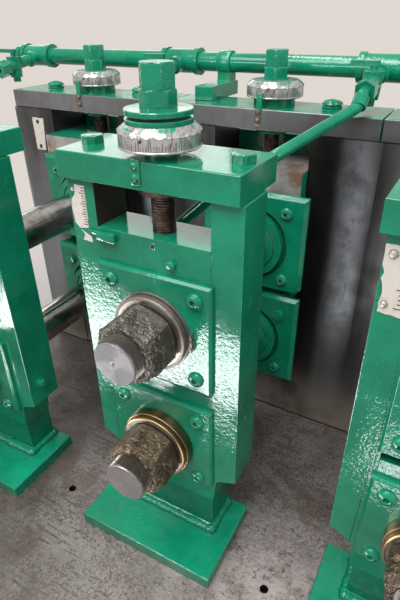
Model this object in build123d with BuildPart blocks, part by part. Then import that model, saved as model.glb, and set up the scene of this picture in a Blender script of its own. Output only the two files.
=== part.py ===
"""Three bays of a raft-type roll forming machine, with bare arbors and no roll tooling.

Millimetres, +Z up. The strip runs along X, the arbors lie along Y, and the outboard (front)
stands face -Y. The origin is on the floor, under the middle of the bed, and x = 0 is the axis
of the centre bay. At rest the top blocks of the outer bays stand a little higher, and the left
outboard stand is set further out.
"""

import os
from math import cos, radians, sin, sqrt

from build123d import *

# Bays, each with an outboard stand, an inboard stand and two arbors
bay_names = ["left", "centre", "right"]
bay_lifts = [12.7, 0.0, 12.7]
bay_outs = [-28.0, 0.0, 0.0]
bay_pitch = 482.6
stand_gap = 436.6
plate_shift = -6.4
inboard_shift = -8.0

# Gaps: bearings, sliding faces, and between pieces that move past each other
running_fit = 0.05
slide_gap = 0.5
face_gap = 0.3
moving_gap = 5.0

# Bed and its welded base
bed_depth = 1016.0
bed_margin = 127.0
bed_top = 609.6
bed_thickness = 38.1
bed_hole = 17.0
bed_hole_depth = 25.0
bed_hole_offset = 45.0
stand_setback = 326.0
rail_inset = 25.4
rail_width = 101.6
rail_height = 203.2
leg_size = 127.0
foot_size = 228.6
foot_thickness = 19.0
anchor_hole = 22.0
anchor_inset = 22.0

# Arbors
bottom_axis_height = 257.0
axis_spacing = 250.0
arbor_diameter = 82.55
journal_diameter = 79.4
thread_diameter = 76.2
stub_diameter = 63.5
body_chamfer = 1.0
thread_chamfer = 1.5
top_arbor_reach = 117.5
bottom_arbor_reach = 130.0
stub_length = 70.0
key_width = 15.9
key_depth = 7.0
key_length = 56.0
centre_hole = 9.0

# Screw-down travel of the top blocks, counted from a bay with no lift
lift_travel = 50.0
drop_travel = 3.0

# Outboard stand: a U-shaped housing on a pedestal
window_width = 203.2
post_width = 50.8
housing_depth = 76.2
neck_spread = 12.0
neck_flare = 9.0
neck_radius = 14.0
shoulder_drop = 73.0
shoulder_slope = 17.0
pedestal_setback = 6.0
pedestal_drop = 137.0
pedestal_chamfer = 2.5
weld_leg = 11.0
base_depth = 186.0
base_thickness = 28.0
base_overhang = 97.0

# Outboard bearing blocks, with their bosses on the roll side
top_block_rise = 159.0
bottom_block_rise = 136.0
bottom_block_drop = 92.0
block_parting = 8.0
boss_diameter = 152.4
boss_length = 24.5
boss_groove = 6.0
seal_diameter = 124.0
seal_groove = 4.0

# Cover plates over the outboard blocks
cover_thickness = 10.0
cover_overlap = 5.4
cover_bevel = 4.0
top_cover_rise = 103.0
bottom_cover_rise = 106.0
bottom_cover_drop = 84.0
cover_parting = 38.0

# Inboard stand: housings side by side, with ground steel panels over their joints
inboard_depth = 127.0
inboard_window_width = 218.0
inboard_block_proud = 36.5
inboard_top_block_rise = 165.0
inboard_bottom_block_rise = 126.0
inboard_bottom_block_drop = 117.0
inboard_block_parting = 17.0
inboard_boss_length = 13.0
inboard_groove = 9.5
inboard_cover_thickness = 15.0
inboard_cover_bevel = 7.5
inboard_cover_width = 248.0
inboard_top_cover_rise = 118.0
inboard_cover_reach = 126.0
inboard_cover_parting = 14.0
inboard_cover_corner = 12.0
face_panel_thickness = 3.2
back_plate_thickness = 12.7
back_plate_width = 254.0
back_plate_rise = 205.0

# Caps over both stands
cap_thickness = 42.5
outboard_cap_depth = 127.0
outboard_cap_overhang = 10.3
outboard_cap_margin = 2.6
cap_joint = 3.2

# Nuts on the arbors, and the washers under them as radius and thickness
nut_across_flats = 104.8
nut_thickness = 64.0
nut_bevel = 5.0
top_rings = [(71.0, 3.6), (68.0, 16.0)]
bottom_rings = [(70.0, 19.6), (67.0, 10.0)]
top_nut_turn = 40.0
bottom_nut_turn = 44.9

# Adjusting screws and their dials
screw_diameter = 38.1
screw_engagement = 46.0
screw_margin = 6.7
retainer_diameter = 72.0
retainer_thickness = 12.0
collar_diameter = 90.0
outboard_collar = 11.5
inboard_collar = 17.5
dial_diameter = 120.6
dial_band = 23.5
dial_bevel = 9.0
dial_top_diameter = 99.0
dial_ring_diameter = 97.2
dial_ring = 7.0
flange_diameter = 98.4
flange_gap = 4.0
flange_thickness = 8.0
flange_neck_diameter = 84.0
lower_hex = 47.6
lower_hex_length = 24.0
upper_hex = 45.2
upper_hex_length = 33.0
hex_bevel = 2.5
hex_turn = 14.0

# Header pipe, its tees, the valves and the branches
header_diameter = 42.2
header_setback = 36.4
header_rise = 69.5
header_end = 14.0
tee_diameter = 54.0
tee_length = 102.0
tee_band = 12.0
tee_rim = 3.5
tee_offset = 190.0
socket_diameter = 39.0
socket_length = 46.0
branch_slope = 9.5
valve_place = 102.0
valve_body = 40.0
valve_drop = 30.0
valve_rise = 21.0
valve_nipple = 28.0
valve_sleeve = 34.0
valve_outlet = 160.0
valve_outlet_hex = 36.0
valve_outlet_length = 30.0
valve_stem = 14.0
valve_nut = 20.0
valve_nut_drop = 12.0
lever_back = 46.0
lever_front = 10.0
lever_width = 14.0
lever_thickness = 9.0
branch_diameter = 21.3
branch_wall = 2.8
branch_mouth = 25.0
branch_lead = 14.0
branch_radius = 32.0
sleeve_diameter = 28.5
sleeve_length = 22.0

# Bends of a branch: from the axis of its bay, the outboard stands' face, and below the header
branch_bends = [
    (189.0, 410.0, 48.0),
    (101.5, 233.0, 106.0),
    (15.0, 158.0, 171.0),
    (-38.0, 136.0, 223.0),
]
bracket_width = 46.0
bracket_height = 30.0
bracket_offset = -172.0
bracket_front = 46.0
strap_width = 34.0
strap_thickness = 5.0

# Worked out from the values above
front = -bed_depth / 2
outboard_face = front + stand_setback
outboard_back = outboard_face + housing_depth
inboard_face = outboard_face + stand_gap
inboard_back = inboard_face + inboard_depth
bay_axes = [bay_pitch * (i - (len(bay_names) - 1) / 2) for i in range(len(bay_names))]
bays = list(zip(bay_names, bay_axes, bay_lifts, bay_outs))
stands = list(zip(bay_axes, bay_outs))
machine_half = bay_pitch * len(bays) / 2
bed_length = 2 * (machine_half + bed_margin)
bottom_axis = bed_top + bottom_axis_height
top_axis = bottom_axis + axis_spacing
retainer_foot = top_axis + inboard_top_block_rise + lift_travel + screw_margin
retainer_top = retainer_foot + retainer_thickness
housing_top = retainer_top + face_gap
cap_top = housing_top + cap_thickness
housing_width = window_width + 2 * post_width
cover_width = window_width + 2 * cover_overlap
outboard_screw_y = outboard_face + housing_depth / 2
inboard_screw_y = inboard_face + inboard_depth / 2
header_y = inboard_back + header_setback
header_z = cap_top + header_rise
hex_to_corner = 2 / sqrt(3)


def slab(x, y, z):
    """Adds a box given by its low and high value along each axis."""
    size = [high - low for low, high in (x, y, z)]
    middle = [(low + high) / 2 for low, high in (x, y, z)]
    with Locations(tuple(middle)):
        Box(*size)


def bar_along_x(y, z, radius, x):
    """Adds a round bar along X between the two x values."""
    with Locations(((x[0] + x[1]) / 2, y, z)):
        Cylinder(radius, x[1] - x[0], rotation=(0, 90, 0))


def bar_along_y(x, z, radius, y):
    """Adds a round bar along Y between the two y values."""
    with Locations((x, (y[0] + y[1]) / 2, z)):
        Cylinder(radius, y[1] - y[0], rotation=(90, 0, 0))


def bore_along_y(x, z, radius, y):
    """Cuts a round hole along Y between the two y values."""
    with Locations((x, (y[0] + y[1]) / 2, z)):
        Cylinder(radius, y[1] - y[0], rotation=(90, 0, 0), mode=Mode.SUBTRACT)


def bar_along_z(x, y, radius, z):
    """Adds a round bar along Z between the two z values."""
    with Locations((x, y, (z[0] + z[1]) / 2)):
        Cylinder(radius, z[1] - z[0])


def bore_along_z(x, y, radius, z):
    """Cuts a round hole along Z between the two z values."""
    with Locations((x, y, (z[0] + z[1]) / 2)):
        Cylinder(radius, z[1] - z[0], mode=Mode.SUBTRACT)


def bar_along(start, heading, radius, length, mode=Mode.ADD):
    """Adds or cuts a round bar from a point along any heading."""
    with BuildSketch(Plane(origin=start, z_dir=heading)) as disc:
        Circle(radius)
    extrude(disc.sketch, amount=length, mode=mode)


def hexagon_along_z(x, y, across_flats, turn, z):
    """Adds a hexagonal bar along Z, with the corners of its top end turned down."""
    corner = across_flats / 2 * hex_to_corner
    with BuildSketch(Plane.XY.offset(z[0])) as outline:
        with Locations((x, y)):
            RegularPolygon(corner, 6, rotation=turn)
    extrude(outline.sketch, amount=z[1] - z[0])
    with BuildSketch(Plane.XZ.offset(-y)) as turned:
        with BuildLine():
            Polyline(
                (x + corner + 1, z[1]),
                (x + corner - hex_bevel, z[1]),
                (x + corner + 1, z[1] - (hex_bevel + 1) / sqrt(3)),
                close=True,
            )
        make_face()
    revolve(turned.sketch, axis=Axis((x, y, 0), (0, 0, 1)), mode=Mode.SUBTRACT)


def write(piece, name):
    """Labels a finished piece and writes it under its own name."""
    piece.part.label = name
    export_step(piece.part, f"parts/{name}.step")


os.makedirs("parts", exist_ok=True)

# Base: four legs on foot plates, two long rails, cross members, and the bed plate on them
rail_top = bed_top - bed_thickness
rail_foot = rail_top - rail_height
leg_x = (bed_length - foot_size) / 2
leg_y = (bed_depth - foot_size) / 2
with BuildPart() as foot_plates:
    with BuildSketch():
        with GridLocations(2 * leg_x, 2 * leg_y, 2, 2):
            Rectangle(foot_size, foot_size)
        with GridLocations(2 * leg_x, 2 * leg_y, 2, 2):
            with GridLocations(foot_size - 2 * anchor_inset, foot_size - 2 * anchor_inset, 2, 2):
                Circle(anchor_hole / 2, mode=Mode.SUBTRACT)
    extrude(amount=foot_thickness)
write(foot_plates, "foot_plates")

with BuildPart() as base_legs:
    with BuildSketch(Plane.XY.offset(foot_thickness)):
        with GridLocations(2 * leg_x, 2 * leg_y, 2, 2):
            RectangleRounded(leg_size, leg_size, leg_size / 12)
    extrude(amount=rail_foot - foot_thickness)
write(base_legs, "base_legs")

rail_length = bed_length - 2 * rail_inset
with BuildPart() as base_rails:
    with BuildSketch(Plane.YZ.offset(-rail_length / 2)):
        with Locations((-leg_y, rail_foot + rail_height / 2), (leg_y, rail_foot + rail_height / 2)):
            RectangleRounded(rail_width, rail_height, rail_width / 10)
    extrude(amount=rail_length)
write(base_rails, "base_rails")

cross_reach = leg_y - rail_width / 2
cross_pitch = (rail_length - rail_width) / len(bays)
with BuildPart() as cross_members:
    with Locations((0, 0, rail_foot + rail_height / 2)):
        with GridLocations(cross_pitch, 1, len(bays) + 1, 1):
            Box(rail_width, 2 * cross_reach, rail_height)
write(cross_members, "cross_members")

with BuildPart() as bed_plate:
    slab((-bed_length / 2, bed_length / 2), (front, -front), (rail_top, bed_top))
    chamfer(bed_plate.edges().group_by(Axis.Z)[-1], 2)
    with Locations((0, outboard_face - bed_hole_offset, bed_top - bed_hole_depth / 2)):
        with GridLocations(bay_pitch, 1, len(bays) + 1, 1):
            Cylinder(bed_hole / 2, bed_hole_depth, mode=Mode.SUBTRACT)
write(bed_plate, "bed_plate")

# Outboard feet: base plates, each with a welded pedestal
base_top = bed_top + base_thickness
pedestal_top = bottom_axis - pedestal_drop
pedestal_front = outboard_face + pedestal_setback
pedestal_half = window_width / 2
with BuildPart() as outboard_feet:
    for x, out in stands:
        middle = x + plate_shift
        base_front = outboard_face + out - base_overhang
        slab(
            (middle - housing_width / 2, middle + housing_width / 2),
            (base_front, base_front + base_depth),
            (bed_top, base_top),
        )
    chamfer(outboard_feet.edges().group_by(Axis.Z)[-1], 2)
    for x, out in stands:
        slab(
            (x - pedestal_half, x + pedestal_half),
            (pedestal_front + out, outboard_back + out),
            (base_top, pedestal_top),
        )
        with BuildSketch(Plane.XY.offset(base_top)):
            with Locations((x, (pedestal_front + outboard_back) / 2 + out)):
                bead_depth = outboard_back - pedestal_front + 2 * weld_leg
                Rectangle(2 * (pedestal_half + weld_leg), bead_depth)
        extrude(amount=weld_leg, taper=45)
write(outboard_feet, "outboard_feet")

# Outboard housings: each U is cut from one plate, with a flared neck below its window
window_half = window_width / 2
neck_half = window_half + neck_spread
sill = bottom_axis - bottom_block_drop
shoulder = bottom_axis - shoulder_drop
with BuildPart() as outboard_housings:
    for x, out in stands:
        half = housing_width / 2
        with BuildSketch(Plane.XZ.offset(-outboard_face - out)) as outline:
            with BuildLine():
                Polyline(
                    (x - neck_half + neck_flare, pedestal_top),
                    (x + neck_half - neck_flare, pedestal_top),
                    (x + neck_half, shoulder),
                    (x + half, shoulder + shoulder_slope),
                    (x + half, housing_top),
                    (x + window_half, housing_top),
                    (x + window_half, sill),
                    (x - window_half, sill),
                    (x - window_half, housing_top),
                    (x - half, housing_top),
                    (x - half, shoulder + shoulder_slope),
                    (x - neck_half, shoulder),
                    close=True,
                )
            make_face()
            corners = outline.vertices().filter_by(lambda v: abs(v.Y - shoulder) < 0.1)
            fillet(corners, neck_radius)
        extrude(amount=-housing_depth)
    foot_edges = outboard_housings.edges().group_by(Axis.Z)[0].filter_by(Axis.X)
    for x, out in stands:
        own_edges = foot_edges.filter_by(lambda edge: abs(edge.center().X - x) < housing_width / 2)
        chamfer(own_edges.sort_by(Axis.Y)[0], pedestal_chamfer)
write(outboard_housings, "outboard_housings")

# Caps, bored for the adjusting screws
cap_front = outboard_face - outboard_cap_overhang
outboard_reach = housing_width / 2 + outboard_cap_margin
screw_bore = screw_diameter / 2 + running_fit
with BuildPart() as outboard_caps:
    for x, out in stands:
        middle = x + plate_shift
        slab(
            (middle - outboard_reach, middle + outboard_reach),
            (cap_front + out, cap_front + out + outboard_cap_depth),
            (housing_top, cap_top),
        )
    chamfer(outboard_caps.edges().filter_by(Axis.Y) + outboard_caps.edges().filter_by(Axis.X), 1.5)
    for x, out in stands:
        bore_along_z(x, outboard_screw_y + out, screw_bore, (housing_top, cap_top))
write(outboard_caps, "outboard_caps")

with BuildPart() as inboard_caps:
    for x in bay_axes:
        reach = (bay_pitch - cap_joint) / 2
        middle = x + inboard_shift
        slab((middle - reach, middle + reach), (inboard_face, inboard_back), (housing_top, cap_top))
    chamfer(inboard_caps.edges().filter_by(Axis.X), 1.5)
    for x in bay_axes:
        bore_along_z(x + inboard_shift, inboard_screw_y, screw_bore, (housing_top, cap_top))
write(inboard_caps, "inboard_caps")

# Inboard stands
inboard_half = inboard_window_width / 2
inboard_sill = bottom_axis - inboard_bottom_block_drop
with BuildPart() as inboard_housings:
    for x in bay_axes:
        middle = x + inboard_shift
        with BuildSketch(Plane.XZ.offset(-inboard_face)):
            with Locations((middle, (bed_top + housing_top) / 2)):
                Rectangle(bay_pitch - slide_gap, housing_top - bed_top)
            with Locations((middle, (inboard_sill + housing_top) / 2)):
                Rectangle(inboard_window_width, housing_top - inboard_sill, mode=Mode.SUBTRACT)
        extrude(amount=-inboard_depth)
write(inboard_housings, "inboard_housings")

panel_stops = [-machine_half]
for x in bay_axes:
    panel_stops += [x - inboard_half, x + inboard_half]
panel_stops.append(machine_half)
with BuildPart() as face_panels:
    for low, high in zip(panel_stops[::2], panel_stops[1::2]):
        slab(
            (low + inboard_shift, high + inboard_shift),
            (inboard_face - face_panel_thickness, inboard_face),
            (bed_top, housing_top),
        )
write(face_panels, "inboard_face_panels")

stub_clear = journal_diameter / 2 + moving_gap
plate_back = inboard_back + back_plate_thickness
with BuildPart() as back_plates:
    for x in bay_axes:
        slab(
            (x - back_plate_width / 2, x + back_plate_width / 2),
            (inboard_back, plate_back),
            (inboard_sill, top_axis + back_plate_rise),
        )
    chamfer(back_plates.edges().group_by(Axis.Y)[-1], 1.5)
    for x in bay_axes:
        bore_along_y(x, bottom_axis, stub_clear, (inboard_back, plate_back))
        with BuildSketch(Plane.XZ.offset(-inboard_back)):
            with Locations((x, top_axis + (lift_travel - drop_travel) / 2)):
                SlotCenterToCenter(lift_travel + drop_travel, 2 * stub_clear, rotation=90)
        extrude(amount=-back_plate_thickness, mode=Mode.SUBTRACT)
write(back_plates, "inboard_back_plates")

# Bearing blocks. Each has a bore for its journal, and a boss with a seal groove on the roll side
journal_bore = journal_diameter / 2 + running_fit
hole_depth = screw_engagement + lift_travel + moving_gap
outboard_block_y = (outboard_face - face_gap, outboard_back + face_gap)
outboard_boss_y = (outboard_block_y[1], outboard_block_y[1] + cover_thickness + boss_length)
inboard_block_y = (inboard_face - inboard_block_proud, inboard_back - face_gap)
inboard_boss_end = inboard_block_y[0] - inboard_cover_thickness - inboard_boss_length
inboard_boss_y = (inboard_boss_end, inboard_block_y[0])
outboard_groove_y = (outboard_boss_y[1] - seal_groove, outboard_boss_y[1])
inboard_groove_y = (inboard_boss_end, inboard_boss_end + seal_groove)
outboard_top = top_axis + top_block_rise
inboard_top = top_axis + inboard_top_block_rise


def add_block(x, axis, middle, half, y, z, boss_y, groove_y):
    """Adds a bearing block, its boss with a seal groove, and the bore through both."""
    slab((middle - half, middle + half), y, z)
    bar_along_y(x, axis, boss_diameter / 2, boss_y)
    bore_along_y(x, axis, seal_diameter / 2, groove_y)
    bar_along_y(x, axis, seal_diameter / 2 - seal_groove, groove_y)
    bore_along_y(x, axis, journal_bore, (min(y[0], boss_y[0]), max(y[1], boss_y[1])))


def moved(y, out):
    """Shifts a pair of y values."""
    return (y[0] + out, y[1] + out)


def add_outboard_block(x, out, axis, z):
    """Adds a bearing block of an outboard stand."""
    half = window_half - slide_gap
    boss_y = moved(outboard_boss_y, out)
    add_block(x, axis, x, half, moved(outboard_block_y, out), z, boss_y, moved(outboard_groove_y, out))


def add_inboard_block(x, axis, z):
    """Adds a bearing block of an inboard stand."""
    half = inboard_half - slide_gap
    middle = x + inboard_shift
    add_block(x, axis, middle, half, inboard_block_y, z, inboard_boss_y, inboard_groove_y)


top_block_foot = bottom_axis + bottom_block_rise + block_parting
inboard_top_block_foot = bottom_axis + inboard_bottom_block_rise + inboard_block_parting
for name, x, lift, out in bays:
    axis = top_axis + lift
    with BuildPart() as top_blocks:
        crown = outboard_top + lift
        add_outboard_block(x, out, axis, (top_block_foot + lift, crown))
        bore_along_z(x, outboard_screw_y + out, screw_bore, (crown - hole_depth, crown))
        crown = inboard_top + lift
        add_inboard_block(x, axis, (inboard_top_block_foot + lift, crown))
        bore_along_z(x + inboard_shift, inboard_screw_y, screw_bore, (crown - hole_depth, crown))
    write(top_blocks, f"top_blocks_{name}")

with BuildPart() as outboard_bottom_blocks:
    for x, out in stands:
        add_outboard_block(x, out, bottom_axis, (sill, bottom_axis + bottom_block_rise))
write(outboard_bottom_blocks, "outboard_bottom_blocks")

with BuildPart() as inboard_bottom_blocks:
    for x in bay_axes:
        add_inboard_block(x, bottom_axis, (inboard_sill, bottom_axis + inboard_bottom_block_rise))
write(inboard_bottom_blocks, "inboard_bottom_blocks")

# Cover plates on the front and the roll side of the outboard blocks, and on the inboard ones
journal_clear = journal_diameter / 2 + moving_gap
boss_clear = boss_diameter / 2 + boss_groove
inboard_boss_clear = boss_diameter / 2 + inboard_groove


def add_cover(x, width, z, y, axis, hole, bevel, corner=0.0):
    """Adds a cover plate with a bevelled rim. y runs from its seat to its outer face."""
    inward = 1 if y[1] < y[0] else -1
    straight = abs(y[1] - y[0]) - bevel
    with BuildSketch(Plane.XZ.offset(-y[0])) as outline:
        with Locations((x, (z[0] + z[1]) / 2)):
            Rectangle(width, z[1] - z[0])
        if corner:
            chamfer(outline.vertices().group_by(Axis.X)[-1].sort_by(Axis.Y)[0], corner)
    extrude(outline.sketch, amount=inward * straight)
    rim = outline.sketch.moved(Location((0, -inward * straight, 0)))
    extrude(rim, amount=inward * bevel, taper=45)
    bore_along_y(x, axis, hole, (min(y), max(y)))


def add_outboard_covers(x, out, axis, z):
    """Adds the front and the roll-side cover of an outboard block."""
    front_y = moved((outboard_block_y[0], outboard_block_y[0] - cover_thickness), out)
    rear_y = moved((outboard_block_y[1], outboard_block_y[1] + cover_thickness), out)
    add_cover(x, cover_width, z, front_y, axis, journal_clear, cover_bevel)
    add_cover(x, cover_width, z, rear_y, axis, boss_clear, cover_bevel)


def add_inboard_cover(x, axis, z, corner=0.0):
    """Adds the cover of an inboard block, on the roll side."""
    y = (inboard_block_y[0], inboard_block_y[0] - inboard_cover_thickness)
    add_cover(x, inboard_cover_width, z, y, axis, inboard_boss_clear, inboard_cover_bevel, corner)


top_cover_foot = bottom_axis + bottom_cover_rise + cover_parting
inboard_parting = bottom_axis + inboard_cover_reach
for name, x, lift, out in bays:
    axis = top_axis + lift
    with BuildPart() as top_covers:
        add_outboard_covers(x, out, axis, (top_cover_foot + lift, axis + top_cover_rise))
        z = (inboard_parting + inboard_cover_parting + lift, axis + inboard_top_cover_rise)
        add_inboard_cover(x, axis, z, inboard_cover_corner)
    write(top_covers, f"top_covers_{name}")

with BuildPart() as outboard_bottom_covers:
    for x, out in stands:
        z = (bottom_axis - bottom_cover_drop, bottom_axis + bottom_cover_rise)
        add_outboard_covers(x, out, bottom_axis, z)
write(outboard_bottom_covers, "outboard_bottom_covers")

with BuildPart() as inboard_bottom_covers:
    for x in bay_axes:
        z = (2 * bottom_axis - inboard_parting + inboard_cover_parting, inboard_parting)
        add_inboard_cover(x, bottom_axis, z)
write(inboard_bottom_covers, "inboard_bottom_covers")

# Arbors: threaded front end, journals in the blocks, a thicker body between the stands
thread_radius = thread_diameter / 2
stub_radius = stub_diameter / 2
journal_radius = journal_diameter / 2
arbor_radius = arbor_diameter / 2
body_start = outboard_boss_y[1] + face_gap
body_end = inboard_boss_y[0] - face_gap
thread_start = outboard_block_y[0] - cover_thickness - face_gap
stub_start = plate_back + moving_gap
stub_end = stub_start + stub_length


def arbor(x, out, axis, reach):
    """Turns one arbor about its axis and cuts the drive keyway in its rear stub."""
    end = outboard_face + out - reach
    with BuildPart() as shaft:
        with BuildSketch(Plane.YZ.offset(x)):
            with BuildLine():
                Polyline(
                    (end + centre_hole / 2, axis),
                    (end, axis + centre_hole / 2),
                    (end, axis + thread_radius - thread_chamfer),
                    (end + thread_chamfer, axis + thread_radius),
                    (thread_start + out, axis + thread_radius),
                    (thread_start + out, axis + journal_radius),
                    (body_start + out, axis + journal_radius),
                    (body_start + out, axis + arbor_radius - body_chamfer),
                    (body_start + out + body_chamfer, axis + arbor_radius),
                    (body_end - body_chamfer, axis + arbor_radius),
                    (body_end, axis + arbor_radius - body_chamfer),
                    (body_end, axis + journal_radius),
                    (stub_start, axis + journal_radius),
                    (stub_start, axis + stub_radius),
                    (stub_end - 2.5, axis + stub_radius),
                    (stub_end, axis + stub_radius - 2.5),
                    (stub_end, axis + centre_hole / 2),
                    (stub_end - centre_hole / 2, axis),
                    close=True,
                )
            make_face()
        revolve(axis=Axis((x, 0, axis), (0, 1, 0)))
        with Locations((x, stub_end - key_length / 2, axis + stub_radius - key_depth / 2)):
            Box(key_width, key_length, key_depth, mode=Mode.SUBTRACT)
    return shaft


def nut_stack(x, out, axis, rings, turn):
    """Makes the washers and the hexagonal nut on the front end of an arbor."""
    place = thread_start + out
    with BuildPart() as stack:
        for radius, thickness in rings:
            bar_along_y(x, axis, radius, (place - thickness, place))
            place -= thickness
        corner = nut_across_flats / 2 * hex_to_corner
        nose = place - nut_thickness
        with BuildSketch(Plane.XZ.offset(-place)):
            with Locations((x, axis)):
                RegularPolygon(corner, 6, rotation=turn)
        extrude(amount=nut_thickness)
        with BuildSketch(Plane.YZ.offset(x)):
            with BuildLine():
                Polyline(
                    (nose, axis + corner + 1),
                    (nose, axis + corner - nut_bevel),
                    (nose + (nut_bevel + 1) / sqrt(3), axis + corner + 1),
                    close=True,
                )
            make_face()
        revolve(axis=Axis((x, 0, axis), (0, 1, 0)), mode=Mode.SUBTRACT)
        bore_along_y(x, axis, thread_radius + running_fit, (nose, thread_start + out))
    return stack


for name, x, lift, out in bays:
    axis = top_axis + lift
    write(arbor(x, out, axis, top_arbor_reach), f"top_arbor_{name}")
    write(arbor(x, out, bottom_axis, bottom_arbor_reach), f"bottom_arbor_{name}")
    write(nut_stack(x, out, axis, top_rings, top_nut_turn), f"top_arbor_nut_{name}")
    write(nut_stack(x, out, bottom_axis, bottom_rings, bottom_nut_turn), f"bottom_arbor_nut_{name}")

# Adjusting screws, held in the caps by a collar above and a retainer below
rod_radius = screw_diameter / 2


def adjusting_screw(x, y, block_top, collar, with_flange):
    """Makes a screw with its retainer, collar, optional flange and double hexagon head."""
    with BuildPart() as screw:
        seat = cap_top + face_gap
        level = seat + collar + dial_band + dial_bevel
        bar_along_z(x, y, rod_radius, (block_top - screw_engagement, level))
        bar_along_z(x, y, retainer_diameter / 2, (retainer_foot, retainer_top))
        bar_along_z(x, y, collar_diameter / 2, (seat, seat + collar))
        if with_flange:
            bar_along_z(x, y, dial_ring_diameter / 2, (level, level + dial_ring))
            level += dial_ring
            bar_along_z(x, y, flange_neck_diameter / 2, (level, level + flange_gap))
            level += flange_gap
            bar_along_z(x, y, flange_diameter / 2, (level, level + flange_thickness))
            level += flange_thickness
        hexagon_along_z(x, y, lower_hex, hex_turn, (level, level + lower_hex_length))
        level += lower_hex_length
        hexagon_along_z(x, y, upper_hex, -hex_turn, (level, level + upper_hex_length))
    return screw


def dial(x, y, collar):
    """Turns a dial ring with a bevelled top edge."""
    foot = cap_top + face_gap + collar
    top = foot + dial_band + dial_bevel
    bore = rod_radius + running_fit
    with BuildPart() as ring:
        with BuildSketch(Plane.XZ.offset(-y)):
            with BuildLine():
                Polyline(
                    (x + bore, foot),
                    (x + dial_diameter / 2 - 1.5, foot),
                    (x + dial_diameter / 2, foot + 1.5),
                    (x + dial_diameter / 2, foot + dial_band),
                    (x + dial_top_diameter / 2, top),
                    (x + bore, top),
                    close=True,
                )
            make_face()
        revolve(axis=Axis((x, y, 0), (0, 0, 1)))
    return ring


for name, x, lift, out in bays:
    screw_y = outboard_screw_y + out
    screw = adjusting_screw(x, screw_y, outboard_top, outboard_collar, True)
    write(screw, f"outboard_screw_{name}")
    write(dial(x, screw_y, outboard_collar), f"outboard_dial_{name}")
    middle = x + inboard_shift
    screw = adjusting_screw(middle, inboard_screw_y, inboard_top, inboard_collar, False)
    write(screw, f"inboard_screw_{name}")
    write(dial(middle, inboard_screw_y, inboard_collar), f"inboard_dial_{name}")

# Header pipe behind the inboard caps, with a tee to each bay and one more at its left end
header_radius = header_diameter / 2
tee_radius = tee_diameter / 2
tee_axes = [bay_axes[0] - bay_pitch + tee_offset] + [x + tee_offset for x in bay_axes]
slope = radians(branch_slope)
downhill = Vector(0, -cos(slope), -sin(slope))
pipe_bore = branch_diameter / 2 - branch_wall
with BuildPart() as header_pipe:
    bar_along_x(header_y, header_z, header_radius, (-bed_length / 2, bed_length / 2))
    for end_x in (-bed_length / 2, bed_length / 2 - header_end):
        bar_along_x(header_y, header_z, header_radius + tee_rim, (end_x, end_x + header_end))
    for tee_x in tee_axes:
        ends = (tee_x - tee_length / 2, tee_x + tee_length / 2)
        bar_along_x(header_y, header_z, tee_radius, ends)
        bar_along_x(header_y, header_z, tee_radius + tee_rim, (ends[0], ends[0] + tee_band))
        bar_along_x(header_y, header_z, tee_radius + tee_rim, (ends[1] - tee_band, ends[1]))
        middle = Vector(tee_x, header_y, header_z)
        bar_along(middle, downhill, socket_diameter / 2 - tee_rim, socket_length)
        bar_along(middle + downhill * (socket_length - tee_band), downhill, socket_diameter / 2, tee_band)
write(header_pipe, "header_pipe")

# Petcocks on the tees: an upright tapered body with a lever on top and a spring nut below
with BuildPart() as branch_valves:
    for tee_x in tee_axes:
        middle = Vector(tee_x, header_y, header_z)
        body = middle + downhill * valve_place
        nipple_start = middle + downhill * socket_length
        bar_along(nipple_start, downhill, valve_nipple / 2, valve_place - socket_length)
        sleeve_reach = valve_outlet - valve_outlet_length - valve_place
        bar_along(body, downhill, valve_sleeve / 2, sleeve_reach)
        low = body.Z - valve_drop
        high = body.Z + valve_rise
        lever_foot = high + lever_thickness
        with BuildSketch(Plane.XZ.offset(-body.Y)) as turned:
            with BuildLine():
                Polyline(
                    (tee_x, low - valve_nut_drop),
                    (tee_x + valve_nut / 2, low - valve_nut_drop),
                    (tee_x + valve_nut / 2, low),
                    (tee_x + valve_body * 0.4, low),
                    (tee_x + valve_body / 2, high),
                    (tee_x + valve_stem / 2, high),
                    (tee_x + valve_stem / 2, lever_foot),
                    (tee_x, lever_foot),
                    close=True,
                )
            make_face()
        revolve(turned.sketch, axis=Axis((tee_x, body.Y, 0), (0, 0, 1)))
        with BuildSketch(Plane.XY.offset(lever_foot)) as lever:
            with Locations((tee_x + (lever_front - lever_back) / 2, body.Y)):
                RectangleRounded(lever_front + lever_back, lever_width, lever_width / 3)
        extrude(lever.sketch, amount=lever_thickness)
        outlet = middle + downhill * (valve_outlet - valve_outlet_length)
        with BuildSketch(Plane(origin=outlet, z_dir=downhill)) as outlet_hex:
            RegularPolygon(valve_outlet_hex / 2 * hex_to_corner, 6)
        extrude(outlet_hex.sketch, amount=valve_outlet_length)
        bar_along(middle + downhill * valve_outlet, -downhill, pipe_bore, branch_mouth, Mode.SUBTRACT)
write(branch_valves, "branch_valves")

# Branch pipes drop over the inboard caps to the rolls of the centre and right bays
with BuildPart() as branch_pipes:
    for x in bay_axes[1:]:
        start = Vector(x + tee_offset, header_y, header_z) + downhill * valve_outlet
        route = [start, start + downhill * branch_lead]
        for across, back, down in branch_bends:
            route.append(Vector(x + across, outboard_face + back, header_z - down))
        with BuildLine():
            FilletPolyline(*route, radius=branch_radius)
        with BuildSketch(Plane(origin=route[0], z_dir=route[1] - route[0])):
            Circle(branch_diameter / 2)
        sweep()
        heading = (route[2] - route[1]).normalized()
        bar_along(route[1] + heading * 5, heading, sleeve_diameter / 2, sleeve_length)
        mouth = (route[-2] - route[-1]).normalized()
        bar_along(route[-1], mouth, pipe_bore, branch_mouth, Mode.SUBTRACT)
write(branch_pipes, "branch_pipes")

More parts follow.
